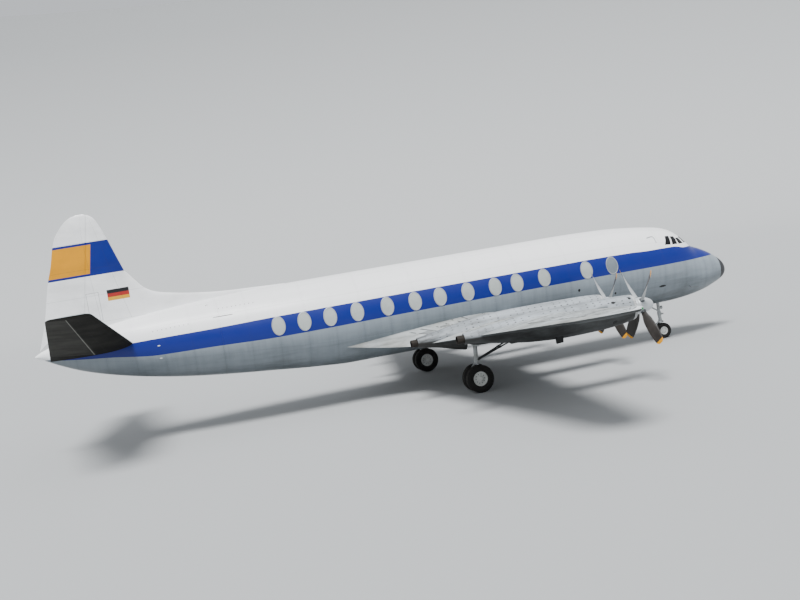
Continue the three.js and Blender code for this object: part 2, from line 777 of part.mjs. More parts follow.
// Bars of a leg, moved to its side of the aircraft; a pair has a second bar on the other side
function barsSolid(bars, y) {
  let solid = null;
  for (const { from, to, r, sides, pair } of bars)
    for (const side of pair ? [PORT, STARBOARD] : [PORT]) {
      const [start, end] = [from, to].map(([s, out, z]) => [X(s), y + side * out, z]);
      const added = bar(start, end, r[0], r[r.length - 1], sides);
      solid = solid ? solid.add(added) : added;
    }
  return solid;
}

// Bore through a leg along +Y for the live axle of its wheels
function axleBore(station, y, z, axleR) {
  const [r, half] = [axleR + BORE_GAP, 300];
  return bar([X(station), y - half, z], [X(station), y + half, z], r, r, WHEEL_SIDES);
}

// Main gear: a trunnion across the bay, a leg, its piston, torque links and a forward drag strut
const BORE_GAP = 0.8;
const MAIN_AXLE_R = 42;
const BAY_REACH = BAY.half - SEAT_GAP;
const MAIN_LEG_BARS = [
  // both ends as station, side and height; radii at the ends; sides; whether it is a pair
  { from: [11700, 0, 1640], to: [11741, 0, 960], r: [76], sides: 12 },
  { from: [11741, 0, 960], to: [11770, 0, 475], r: [56], sides: 12 },
  { from: [11741, 0, 1030], to: [11741, 0, 965], r: [92], sides: 12 },
  { from: [11700, -BAY_REACH, 1640], to: [11700, BAY_REACH, 1640], r: [62], sides: 8 },
  { from: [11770, -62, 475], to: [11770, 62, 475], r: [88], sides: 12 },
  { from: [11730, 40, 1080], to: [10020, 235, 1692], r: [34, 30], sides: 8, pair: true },
  { from: [10020, -BAY_REACH, 1692], to: [10020, BAY_REACH, 1692], r: [34], sides: 8 },
  { from: [11810, 48, 990], to: [12070, 34, 700], r: [24, 18], sides: 6, pair: true },
  { from: [11820, 42, 500], to: [12070, 34, 700], r: [24, 18], sides: 6, pair: true },
  { from: [12070, -55, 700], to: [12070, 55, 700], r: [22], sides: 8 },
];
const STRUT_LUG = { back: 11790, front: 11680, half: 62, bottom: 1045, top: 1115 };

function mainLegSolid(y) {
  const { back, front, half, bottom, top } = STRUT_LUG;
  const lug = box(X(back), X(front), y - half, y + half, bottom, top);
  const bore = axleBore(MAIN_STATION, y, MAIN_TYRE_R, MAIN_AXLE_R);
  return barsSolid(MAIN_LEG_BARS, y).add(lug).subtract(bore);
}

// Gear doors that are shut over one end of their bay: two halves, each a slice of the skin
const MAIN_DOOR = { front: BAY.front + SEAT_GAP, back: 10420, half: BAY_REACH, thick: 22, top: 1650 };

function shutDoor(outer, inner, door, y, side) {
  const ends = [y + (side * SEAT_GAP) / 2, y + side * door.half];
  const [from, to] = [Math.min(...ends), Math.max(...ends)];
  return outer.subtract(inner).intersect(box(X(door.back), X(door.front), from, to, 0, door.top));
}

function addMainGear({ name, sign }, table) {
  const y = sign * MAIN_Y;
  addPiece(`main_leg_${name}`, mainLegSolid(y), "leg");
  addWheels(`main_${name}`, X(MAIN_STATION), y, MAIN_TYRE_R, MAIN_TYRE_WIDTH, MAIN_WHEEL_Y, MAIN_AXLE_R);
  for (const side of SIDES) {
    const door = shutDoor(
      nacelleSolid(table, y), nacelleSolid(table, y, -MAIN_DOOR.thick), MAIN_DOOR, y, side.sign);
    addPiece(`main_door_${name}_${side.name}`, largest(door), "wing");
  }
}

// Nose gear: fixed cylinder in its bay, and a steered piston that carries the wheels
const NOSE_BAY = { front: 2780, back: 4250, half: 270, top: 2000 };
const NOSE_REACH = NOSE_BAY.half - SEAT_GAP;
const NOSE_DOOR = { front: 3620, back: NOSE_BAY.back - SEAT_GAP, half: NOSE_REACH, thick: 16, top: 1500 };
const NOSE_AXLE_R = 32;
const NOSE_PISTON_R = 46;
const NOSE_LEG_BARS = [
  // both ends as station, side and height; radii at the ends; sides; whether it is a pair
  { from: [3030, 0, 1730], to: [3030, 0, 760], r: [66], sides: 12 },
  { from: [3030, -NOSE_REACH, 1640], to: [3030, NOSE_REACH, 1640], r: [46], sides: 8 },
  { from: [3030, 0, 1010], to: [3030, 0, 940], r: [86], sides: 12 },
  { from: [3030, 30, 1060], to: [3950, 150, 1700], r: [24, 22], sides: 8, pair: true },
  { from: [3950, -NOSE_REACH, 1700], to: [3950, NOSE_REACH, 1700], r: [30], sides: 8 },
];
const NOSE_FORK_BARS = [
  { from: [3030, 0, 950], to: [3030, 0, 300], r: [NOSE_PISTON_R], sides: 20 },
  { from: [3030, -48, 300], to: [3030, 48, 300], r: [66], sides: 12 },
  { from: [3030, 0, 750], to: [3030, 0, 690], r: [78], sides: 12 },
  { from: [3080, 30, 700], to: [3220, 22, 560], r: [15, 12], sides: 6, pair: true },
  { from: [3070, 26, 330], to: [3220, 22, 560], r: [15, 12], sides: 6, pair: true },
  { from: [3220, -36, 560], to: [3220, 36, 560], r: [14], sides: 6 },
];
const PISTON_SLEEVE = { from: 750, to: 960 };
const TOW_LUG = { front: 2910, back: 3050, half: 35, bottom: 605, top: 675 };

function noseLegSolid() {
  const x = X(NOSE_GEAR_STATION);
  const r = NOSE_PISTON_R + BORE_GAP;
  const sleeve = bar([x, 0, PISTON_SLEEVE.from], [x, 0, PISTON_SLEEVE.to], r, r, 20);
  return barsSolid(NOSE_LEG_BARS, 0).subtract(sleeve);
}

function noseForkSolid() {
  const { front, back, half, bottom, top } = TOW_LUG;
  const lug = box(X(back), X(front), -half, half, bottom, top);
  const bore = axleBore(NOSE_GEAR_STATION, 0, NOSE_TYRE_R, NOSE_AXLE_R);
  return barsSolid(NOSE_FORK_BARS, 0).add(lug).subtract(bore);
}

function addNoseGear() {
  addPiece("nose_leg", noseLegSolid(), "leg");
  addPiece("nose_fork", noseForkSolid(), "leg");
  addWheels("nose", X(NOSE_GEAR_STATION), 0, NOSE_TYRE_R, NOSE_TYRE_WIDTH, NOSE_WHEEL_Y, NOSE_AXLE_R);
  for (const side of SIDES) {
    const door = shutDoor(
      fuselageSolid(), fuselageSolid(-NOSE_DOOR.thick), NOSE_DOOR, 0, side.sign);
    addPiece(`nose_door_${side.name}`, largest(door), "grey");
  }
}

// Cabin doors on the port side: name, middle station, width, bottom, top
const CABIN_DOORS = [
  { name: "passenger_door_front", station: 5050, width: 820, bottom: 2560, top: 4130 },
  { name: "passenger_door_rear", station: 19150, width: 780, bottom: 2560, top: 4080 },
];
const DOOR_THICK = 60;
const DOOR_LINE = 4;
const DOOR_CORNER_R = 170;
const DOOR_PRISM = { y0: 800, y1: 2300 };

function doorPrism(door, grow) {
  const half = door.width / 2 + grow;
  const shape = new THREE.Shape();
  const [x0, x1] = [X(door.station) - half, X(door.station) + half];
  const [z0, z1, r] = [door.bottom - grow, door.top + grow, DOOR_CORNER_R];
  shape.moveTo(x0 + r, z0);
  shape.lineTo(x1 - r, z0);
  shape.absarc(x1 - r, z0 + r, r, -Math.PI / 2, 0);
  shape.absarc(x1 - r, z1 - r, r, 0, Math.PI / 2);
  shape.absarc(x0 + r, z1 - r, r, Math.PI / 2, Math.PI);
  shape.absarc(x0 + r, z0 + r, r, Math.PI, 1.5 * Math.PI);
  const options = { depth: DOOR_PRISM.y1 - DOOR_PRISM.y0, bevelEnabled: false, curveSegments: 4 };
  const geometry = new THREE.ExtrudeGeometry(shape, options).rotateX(Math.PI / 2);
  return solidOf(geometry.translate(0, DOOR_PRISM.y1, 0));
}

// Cockpit windows: one band of panes let into the nose
const GLAZING = { bottom: 3500, top: 3930, back: 3080, thick: 14 };
const RADOME_BACK = 400;
// The unpressurised tail is a hollow cone whose open front closes on the rear bulkhead
const TAIL_JOINT = { station: 19850, wall: 90 };

// Slice of space between two stations, over a range of heights
function stationSlice(front, back, bottom = 0, top = HIGH) {
  return box(X(back), X(front), -FAR, FAR, bottom, top);
}

function addFuselage() {
  const whole = fuselageSolid();
  let shell = whole;
  for (const door of CABIN_DOORS) {
    const panel = whole.intersect(doorPrism(door, 0)).subtract(fuselageSolid(-DOOR_THICK));
    addPiece(door.name, panel, "white");
    const behind = fuselageSolid(-DOOR_THICK - SEAT_GAP);
    shell = shell.subtract(doorPrism(door, DOOR_LINE).subtract(behind));
  }
  const band = (gap) =>
    stationSlice(0, GLAZING.back + gap, GLAZING.bottom - gap, GLAZING.top + gap);
  const panes = whole.intersect(band(0)).subtract(fuselageSolid(-GLAZING.thick));
  addPiece("cockpit_glazing", panes, "glass");
  shell = shell.subtract(band(SEAT_GAP).subtract(fuselageSolid(-GLAZING.thick - SEAT_GAP)));
  const nose = (gap) => stationSlice(-10, RADOME_BACK + gap);
  addPiece("radome", whole.intersect(nose(0)), "black");
  const { front, back, half, top } = NOSE_BAY;
  const bay = box(X(back), X(front), -half, half, 0, top);
  const [padX, padR] = [X(NOSE_JACK.station), NOSE_JACK.r];
  const pad = bar([padX, 0, NOSE_JACK.faceZ], [padX, 0, NOSE_JACK.topZ], padR, padR, NOSE_JACK.sides);
  shell = shell.subtract(nose(SEAT_GAP)).subtract(bay).add(pad);
  const aft = (gap) => stationSlice(TAIL_JOINT.station + gap, LENGTH + 10);
  addPiece("fuselage", shell.subtract(aft(-SEAT_GAP)), "white");
  const cone = shell.intersect(aft(0)).subtract(fuselageSolid(-TAIL_JOINT.wall));
  addPiece("tail_cone", cone, "white");
}

addFuselage();
const fuselageRoom = fuselageSolid(SEAT_GAP);
for (const side of SIDES) {
  addWing(side, fuselageRoom);
  for (const engine of ENGINES) addEngine(side, engine);
  const inner = ENGINES[0];
  addMainGear(side, inner.table);
  addTailplane(side, fuselageRoom);
}
addFinAndRudder(fuselageRoom);
addNoseGear();

export default aircraft;
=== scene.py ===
# A four-engined turboprop airliner on its wheels: its smooth outer surface, fittings and paint.
# Metres, +X to the nose, +Y to port, +Z up; a station is a distance behind the nose tip.

import bpy
import numpy as np
from collections import namedtuple
from math import pi, radians, tan
from mathutils import Matrix, Vector


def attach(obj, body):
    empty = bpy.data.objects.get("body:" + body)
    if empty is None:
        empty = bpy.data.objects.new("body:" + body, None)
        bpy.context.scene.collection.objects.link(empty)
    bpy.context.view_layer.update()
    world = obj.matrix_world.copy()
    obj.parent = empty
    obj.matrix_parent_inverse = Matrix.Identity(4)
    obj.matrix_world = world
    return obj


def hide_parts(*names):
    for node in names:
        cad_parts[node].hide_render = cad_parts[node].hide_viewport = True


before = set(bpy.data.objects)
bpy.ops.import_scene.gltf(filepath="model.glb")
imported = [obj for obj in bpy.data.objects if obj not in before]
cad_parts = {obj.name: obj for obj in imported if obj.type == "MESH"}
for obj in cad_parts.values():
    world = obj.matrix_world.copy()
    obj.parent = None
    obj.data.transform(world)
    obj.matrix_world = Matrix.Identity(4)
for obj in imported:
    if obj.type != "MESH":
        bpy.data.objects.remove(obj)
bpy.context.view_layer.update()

NOSE_X = 13.055
HALF_SPAN = 14.28
SIDES = {"left": 1, "right": -1}
AIRFRAME = "airframe"
MM = 0.001


# Shared arithmetic

def lerp(a, b, t):
    return a + (b - a) * t


def circle(count):
    return np.arange(count) * 2 * pi / count


def spot(station, y, z):
    """Points by station, distance to port and height, spread to one shape."""
    return np.stack(np.broadcast_arrays(NOSE_X - station, y, z), -1)


def read(table, at):
    """Columns of a table on a smooth curve without overshoot: between two rows a cubic whose slope at
    each row is the weighted harmonic mean of the straight slopes on both sides, zero at a turn."""
    x, y = table[:, 0], table[:, 1:]
    step = np.diff(x)[:, None]
    slope = np.diff(y, axis=0) / step
    before, after = slope[:-1], slope[1:]
    same = before * after > 0
    w1, w2 = 2 * step[1:] + step[:-1], step[1:] + 2 * step[:-1]
    middle = np.where(same, (w1 + w2) / (w1 / np.where(same, before, 1) + w2 / np.where(same, after, 1)), 0)
    slopes = np.concatenate([slope[:1], middle, slope[-1:]])
    at = np.clip(np.asarray(at, float), x[0], x[-1])
    i = np.clip(np.searchsorted(x, at, side="right") - 1, 0, len(x) - 2)
    wide = (x[i + 1] - x[i])[..., None]
    t = (at - x[i])[..., None] / wide
    start = (1 + 2 * t) * (1 - t) ** 2 * y[i] + t * (1 - t) ** 2 * wide * slopes[i]
    return start + t * t * (3 - 2 * t) * y[i + 1] + t * t * (t - 1) * wide * slopes[i + 1]


def spread(start, stop, count, fixed=()):
    """Even places from start to stop, with the nearest ones moved onto the fixed places."""
    places = np.linspace(start, stop, count)
    for value in fixed:
        places[np.argmin(abs(places - value))] = value
    return places


# Meshes

Shell = namedtuple("Shell", "points faces marks")


def outward(points, faces):
    """Turns all faces round when the volume under them, a sum of triple products, is negative."""
    corners = np.array([(face[0], face[k], face[k + 1]) for face in faces for k in range(1, len(face) - 1)])
    a, b, c = (points[corners[:, k]] for k in range(3))
    volume = np.einsum("ij,ij->i", a - points[0], np.cross(b - points[0], c - points[0])).sum()
    return faces if volume > 0 else [face[::-1] for face in faces]


def placed(thing):
    bpy.context.scene.collection.objects.link(thing)
    return thing


def smooth_object(name, mesh, material):
    mesh.polygons.foreach_set("use_smooth", [True] * len(mesh.polygons))
    mesh.materials.append(material)
    return placed(bpy.data.objects.new(name, mesh))


def rungs(count, left, right):
    """End of an aerofoil as narrow faces between its upper and lower side, from its nose to its rear,
    so that an end that is cut aslant stays on its cut."""
    faces = []
    while left > 0 or right < count - 1:
        above, below = max(left - 1, 0), min(right + 1, count - 1)
        faces.append(list(dict.fromkeys([left, right, below, above])))
        left, right = above, below
    return faces


def loft(rings, marks=None, loop=False, pocket=None, nose=None):
    """Closed body through rings of equal point count: four-sided faces between neighbours and a flat
    face over each end, or a ring of rings. A pocket (first ring, last ring, columns, height) has the
    patch of those cells lifted to a height, with walls down to its edge. A nose (two neighbours in
    the ring) has the ends closed by rungs from it."""
    rings = np.asarray(rings, float)
    n, m, _ = rings.shape
    points = rings.reshape(-1, 3)
    i, j = np.meshgrid(np.arange(n if loop else n - 1), np.arange(m), indexing="ij")
    up, next_j = (i + 1) % n, (j + 1) % m
    cells = np.stack([i * m + j, i * m + next_j, up * m + next_j, up * m + j], -1)
    marks = {name: np.broadcast_to(value, (n, m)).reshape(-1) for name, value in (marks or {}).items()}
    if pocket is None:
        faces = cells.reshape(-1, 4).tolist()
    else:
        first, last, columns, height = pocket
        inside = np.zeros(cells.shape[:2], bool)
        inside[first:last, :columns] = True
        patch = np.arange(first, last + 1)[:, None] * m + np.arange(columns + 1)[None, :]
        lifted = points[patch.ravel()].copy()
        lifted[:, 2] = height
        number = np.full(n * m, -1)
        number[patch.ravel()] = n * m + np.arange(patch.size)
        roof = number[cells[inside]]
        edge = np.concatenate([patch[0, :], patch[1:, -1], patch[-1, -2::-1], patch[-2:0:-1, 0]])
        follow = np.roll(edge, -1)
        walls = np.stack([edge, follow, number[follow], number[edge]], -1)
        faces = cells[~inside].tolist() + roof.tolist() + walls[:, ::-1].tolist()
        marks = {name: np.concatenate([value, value[patch.ravel()]]) for name, value in marks.items()}
        marks["inside"] = np.concatenate([np.zeros(n * m), np.ones(patch.size)])
        points = np.concatenate([points, lifted])
    ends = rungs(m, *nose) if nose else [list(range(m))]
    if not loop:
        faces += [face[::-1] for face in ends]
        faces += [[corner + (n - 1) * m for corner in face] for face in ends]
    return Shell(points, outward(points, faces), marks)


def moved(shell, function):
    """The shell with its points carried by a function of the point array, faces kept pointing out."""
    points = function(shell.points.copy())
    return Shell(points, outward(points, shell.faces), shell.marks)


def piece(name, shells, material, body=AIRFRAME, replaces=(), sharp=32):
    """One object from one or more closed shells, at the origin, smooth but for edges past an angle."""
    shells = shells if isinstance(shells, list) else [shells]
    starts = np.cumsum([0] + [len(shell.points) for shell in shells])
    faces = [[corner + start for corner in face]
             for shell, start in zip(shells, starts) for face in shell.faces]
    mesh = bpy.data.meshes.new(name)
    mesh.from_pydata(np.concatenate([shell.points for shell in shells]).tolist(), [], faces)
    for mark in sorted({mark for shell in shells for mark in shell.marks}):
        values = [shell.marks.get(mark, np.zeros(len(shell.points))) for shell in shells]
        mesh.attributes.new(mark, "FLOAT", "POINT").data.foreach_set("value", np.concatenate(values))
    made = smooth_object(name, mesh, material)
    mesh.set_sharp_from_angle(angle=radians(sharp))
    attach(made, body)
    if replaces:
        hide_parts(*replaces)
    return made


def turned(start, along, profile, sides=32, marks=None):
    """Body of revolution about a line: at each (distance, radius) of the profile a circle across it."""
    start, along = Vector(start), Vector(along).normalized()
    side = along.cross(Vector((0.31, 0.17, 0.93))).normalized()
    third = along.cross(side)
    profile, angle = np.array(profile, float), circle(sides)[:, None]
    ring = np.cos(angle) * np.array(side) + np.sin(angle) * np.array(third)
    centres = np.array(start) + profile[:, :1] * np.array(along)
    return loft(centres[:, None, :] + profile[:, 1][:, None, None] * ring, marks)


def rod(start, end, profile, sides=24):
    """Body of revolution from one point to another; the profile gives (share of the way, radius)."""
    way = Vector(end) - Vector(start)
    return turned(start, way, [(share * way.length, radius) for share, radius in profile], sides)


def pin(start, end, radius, tip, bevel=0.01, sides=24):
    """Rod of one radius, bevelled to its tips over a share of its length."""
    return rod(start, end, [(0, tip), (bevel, radius), (1 - bevel, radius), (1, tip)], sides)


def crosswise(x, y, z, reach):
    return (x, y - reach, z), (x, y + reach, z)


def tube(points, radius, sides=10, steps=8):
    """Round tube along a smooth curve through points: centres on a Catmull-Rom curve, and at each one
    a circle across the curve's direction."""
    knots = np.array(points, float)
    ends = np.concatenate([2 * knots[:1] - knots[1:2], knots, 2 * knots[-1:] - knots[-2:-1]])
    u = np.linspace(0, len(knots) - 1, (len(knots) - 1) * steps + 1)
    i = np.minimum(u.astype(int), len(knots) - 2)
    t = (u - i)[:, None]
    p0, p1, p2, p3 = (ends[i + k] for k in range(4))
    curve = 0.5 * (2 * p1 + (p2 - p0) * t + (2 * p0 - 5 * p1 + 4 * p2 - p3) * t ** 2
                   + (3 * p1 - p0 - 3 * p2 + p3) * t ** 3)
    way = np.gradient(curve, axis=0)
    way /= np.linalg.norm(way, axis=1)[:, None]
    side = np.cross(way, (0.13, 0.97, 0.21))
    side /= np.linalg.norm(side, axis=1)[:, None]
    third = np.cross(way, side)
    angle = circle(sides)[None, :, None]
    return loft(curve[:, None] + radius * (np.cos(angle) * side[:, None] + np.sin(angle) * third[:, None]))


def plate(outline, normal, thick, bevel=0.003):
    """Flat plate: its outline's points moved both ways along the normal, with a narrow slope at the
    edge, where the outline shrinks towards its centre by the bevel's width."""
    outline = np.array(outline, float)
    normal = np.array(Vector(normal).normalized())
    middle = outline.mean(axis=0)
    away = outline - middle
    shrunk = middle + away * (1 - bevel / np.maximum(np.linalg.norm(away, axis=1), bevel * 2))[:, None]
    top, edge = normal * thick / 2, normal * (thick / 2 - bevel)
    return loft([shrunk - top, outline - edge, outline + edge, shrunk + top])


# Materials

def linear(hex_colour):
    """Turns an sRGB hex colour into the linear one that a shader takes, with alpha 1."""
    value = np.array([int(hex_colour[i:i + 2], 16) for i in (1, 3, 5)]) / 255
    return (*np.where(value <= 0.04045, value / 12.92, ((value + 0.055) / 1.055) ** 2.4).tolist(), 1.0)


def feed(tree, node, inputs):
    """Gives a node's inputs values, colours by their hex, or another node's output."""
    for key, value in inputs.items():
        if isinstance(value, bpy.types.Node):
            value = value.outputs[0]
        if isinstance(value, bpy.types.NodeSocket):
            tree.links.new(value, node.inputs[key])
        else:
            node.inputs[key].default_value = linear(value) if isinstance(value, str) else value


def add(tree, kind, settings=None, inputs=None):
    """Adds a node, sets its settings and feeds its inputs."""
    node = tree.nodes.new("ShaderNode" + kind)
    for key, value in (settings or {}).items():
        setattr(node, key, value)
    feed(tree, node, inputs or {})
    return node


def new_material(name):
    material = bpy.data.materials.new(name)
    material.use_nodes = True
    tree = material.node_tree
    return material, tree, tree.nodes["Principled BSDF"]


def surface(tree, shader, **sockets):
    """Sets or links the shader's sockets by their names, with _ for a space."""
    feed(tree, shader, {key.replace("_", " "): value for key, value in sockets.items()})


def stretched_noise(tree, scale, detail=3.0, rough=0.55):
    """Noise whose grain is 1 over the scale in metres, given for X, Y and Z in turn."""
    place = add(tree, "TexCoord").outputs["Object"]
    mapped = add(tree, "Mapping", None, {"Vector": place, "Scale": scale})
    return add(tree, "TexNoise", None, {"Vector": mapped, "Scale": 1.0, "Detail": detail,
                                        "Roughness": rough})


def coordinates(tree):
    return add(tree, "SeparateXYZ", None, {0: add(tree, "TexCoord").outputs["Object"]}).outputs


def maths(tree, operation, a, b, clamp=False):
    return add(tree, "Math", {"operation": operation, "use_clamp": clamp}, {0: a, 1: b})


def chain(tree, operation, values):
    result = values[0]
    for value in values[1:]:
        result = maths(tree, operation, result, value)
    return result


def near_line(tree, value, period, half, offset=0.0):
    """One within half a line's width of each multiple of the period, else zero."""
    away = maths(tree, "PINGPONG", maths(tree, "ADD", value, -offset), period / 2)
    return maths(tree, "LESS_THAN", away, half)


def either(tree, *masks):
    return chain(tree, "MAXIMUM", masks)


def both(tree, *factors):
    return chain(tree, "MULTIPLY", factors)


def past(tree, value, limit):
    return maths(tree, "GREATER_THAN", value, limit)


def short_of(tree, value, limit):
    return maths(tree, "LESS_THAN", value, limit)


def between(tree, value, low, high):
    return both(tree, past(tree, value, low), short_of(tree, value, high))


def lines_at(tree, value, places, half):
    """One within half a line's width of each of the places, else zero."""
    return either(tree, *[between(tree, value, at - half, at + half) for at in places])


def bands_at(tree, value, places, width, after=0.0):
    """One over a width that starts at, or some way after, each of the places, else zero."""
    return either(tree, *[between(tree, value, at + after, at + after + width) for at in places])


def over(tree, under, mask, colour, blend="MIX"):
    return add(tree, "MixRGB", {"blend_type": blend}, {"Fac": mask, "Color1": under, "Color2": colour})


def shares(tree, value, low, high, start=0.0, stop=1.0):
    """Goes from start to stop while the value goes from low to high, and stays there beyond."""
    return add(tree, "MapRange", None, {"Value": value, "From Min": low, "From Max": high, "To Min": start,
                                        "To Max": stop})


def clouds(tree, scale, low, high, detail=3.0, rough=0.55, most=1.0):
    return shares(tree, stretched_noise(tree, scale, detail, rough), low, high, 0.0, most)


def mark(tree, name):
    return add(tree, "Attribute", {"attribute_name": name}).outputs["Fac"]


def weathered(tree, shader, colour, seams, rivets, dirt, rough, streak, coat=0.0, shine=0.4):
    """Enamel over riveted aluminium sheet: dirt gathers in long streaks with the airflow and in blotches,
    seams are dark and sunk, rivets stand as small dots, and sheets bulge a little between frames."""
    blotches = stretched_noise(tree, (0.9, 0.9, 1.3), 5.0, 0.6)
    long_dirt = clouds(tree, streak, 0.45, 0.75, 4.0, 0.6)
    wide_dirt = shares(tree, blotches, 0.42, 0.8)
    soiled = both(tree, maths(tree, "ADD", long_dirt, wide_dirt, True), dirt)
    colour = over(tree, colour, soiled, "#6d6a62", "MULTIPLY")
    colour = over(tree, colour, both(tree, seams, 0.55), "#2b2c2e")
    colour = over(tree, colour, both(tree, rivets, 0.5), "#3a3b3c")
    sunk = maths(tree, "SUBTRACT", both(tree, rivets, 0.4), seams)
    bulges = stretched_noise(tree, (1.9, 1.9, 1.9), 1.0, 0.4)
    fine = add(tree, "Bump", None, {"Height": sunk, "Strength": 0.5, "Distance": 0.002})
    wavy = add(tree, "Bump", None, {"Height": bulges, "Strength": 0.35, "Distance": 0.012, "Normal": fine})
    roughness = shares(tree, blotches, 0.3, 0.8, rough, rough + 0.18)
    surface(tree, shader, Base_Color=colour, Roughness=roughness, Normal=wavy, Coat_Weight=coat,
            Coat_Roughness=0.12, Specular_IOR_Level=shine)


# BELLY is the belly's grey paint, darkened a little as painted shade for the shade under the fuselage
BLUE, WHITE, BELLY, YELLOW = "#001c7c", "#fbfcfd", "#919ca5", "#dc9600"
FRAME_X, FRAME_STEP = 0.045, 0.98
# Lengthwise laps of the fuselage by angle from the top, and joints of the cowlings from their front
BODY_LAPS = (0.42, 0.95, 1.98, 2.42)
COWL_RINGS = (0.11, 0.62, 1.35, 2.3, 3.9)


def body_enamel():
    """Polyurethane enamel on a riveted aluminium fuselage: white roof, blue cheat line, grey belly. The
    sheets are drawn in at each frame, so the belly shows soft upright bands of painted shade there, dirt
    runs down it, and painted shade darkens it towards the keel."""
    material, tree, shader = new_material("body_enamel")
    x, _, z = coordinates(tree)
    turn, over_low = mark(tree, "turn"), mark(tree, "over_low_edge")
    above = past(tree, over_low, 0.0)
    blue = both(tree, past(tree, mark(tree, "under_top_edge"), 0.0), above)
    runs = clouds(tree, (5.5, 0.6, 0.5), 0.4, 0.72, 4.0, 0.6)
    # Frames stand 0.98 m apart, about as far as the windows
    at_frame = maths(tree, "PINGPONG", maths(tree, "SUBTRACT", x, FRAME_X), FRAME_STEP / 2)
    # Painted shade: soft bands darken the belly at each frame, where the sheets are drawn in
    painted_frame_shade = shares(tree, at_frame, 0.16, 0.0, 0.0, 0.8)
    belly = over(tree, BELLY, both(tree, either(tree, painted_frame_shade, runs), 0.34), "#717b83")
    # Painted shade: the lower the skin, the darker it is painted, for the shade under the belly
    belly = over(tree, belly, shares(tree, turn, 1.75, 2.75, 0.0, 0.8), "#565d61")
    colour = over(tree, over(tree, belly, above, WHITE), blue, BLUE)
    colour = over(tree, colour, mark(tree, "inside"), "#8c9187")
    # Seams 5 to 9 mm wide stand for real laps of 1 mm, to be seen from afar
    frames = both(tree, near_line(tree, x, FRAME_STEP, 0.0045, FRAME_X), short_of(tree, over_low, 0.0))
    roof_frames = near_line(tree, x, 2 * FRAME_STEP, 0.0025, FRAME_X)
    seams = both(tree, either(tree, frames, roof_frames, lines_at(tree, turn, BODY_LAPS, 0.002)), 0.55)
    # Rivets every 90 mm beside the seams, drawn 14 mm wide, about three times a real head
    rows = either(tree, *[near_line(tree, x, FRAME_STEP, 0.007, FRAME_X + off) for off in (0.04, -0.04)])
    dots = both(tree, rows, near_line(tree, turn, 0.056, 0.0043))
    lap_dots = both(tree, bands_at(tree, turn, BODY_LAPS, 0.0085, 0.012), near_line(tree, x, 0.09, 0.007))
    weathered(tree, shader, colour, seams, either(tree, dots, lap_dots),
              shares(tree, z, 3.0, 1.5, 0.04, 0.5), 0.34, (0.35, 2.2, 5.0), 0.12)
    return material


def wing_enamel():
    """Grey enamel on the wing: lighter along the top of the leading edge, dotted with fasteners along its
    spars, and dull dark grey with stains below, the dark grey being painted shade for the shade under the
    wing."""
    material, tree, shader = new_material("wing_enamel")
    _, y, _ = coordinates(tree)
    share, under = mark(tree, "share"), mark(tree, "under")
    # Painted shade: the underside is painted dark grey for the shade under the wing, with darker stains
    below = over(tree, "#4c4f50", clouds(tree, (1.1, 0.8, 1.0), 0.42, 0.7, 5.0, 0.62, 0.85), "#232221")
    top = over(tree, "#b4babd", clouds(tree, (0.7, 0.5, 1.0), 0.40, 0.62, 4.0, most=0.7), "#9fa09b")
    colour = over(tree, top, past(tree, under, 0.5), below)
    # A lighter band along the top of the leading edge
    lead = both(tree, shares(tree, share, 0.125, 0.11, 0.0, 0.85), short_of(tree, under, 0.5))
    colour = over(tree, colour, lead, "#e3e7ea")
    spars = lines_at(tree, share, (0.13, 0.36, 0.62), 0.0014)
    seams = either(tree, near_line(tree, y, 1.16, 0.005, 0.2), spars)
    # Dirt held in the laps along the span, 0.7 m long and 1.5 % of the chord wide, washed out in places.
    # Real laps are 20 mm wide: they are drawn wider to show at the photograph's flat angle
    laps = bands_at(tree, share, (0.07, 0.17, 0.24, 0.31, 0.38, 0.45, 0.52, 0.59, 0.66, 0.73), 0.015)
    patchy = clouds(tree, (3.1, 0.9, 3.1), 0.47, 0.50)
    held = both(tree, laps, near_line(tree, y, 0.98, 0.35, 0.1), patchy)
    # Covers a twentieth of the chord by 260 mm over the tank bolts, dull with old sealant
    rows = bands_at(tree, share, (0.12, 0.26, 0.40, 0.54, 0.68), 0.05)
    worn = clouds(tree, (1.7, 1.5, 1.7), 0.44, 0.50, most=0.7)
    covers = both(tree, rows, near_line(tree, y, 0.65, 0.13, 0.2), worn)
    weathered(tree, shader, colour, seams, both(tree, either(tree, held, covers), 1.5), 0.55, 0.7,
              (0.5, 3.5, 3.5), 0.0, 0.2)
    return material


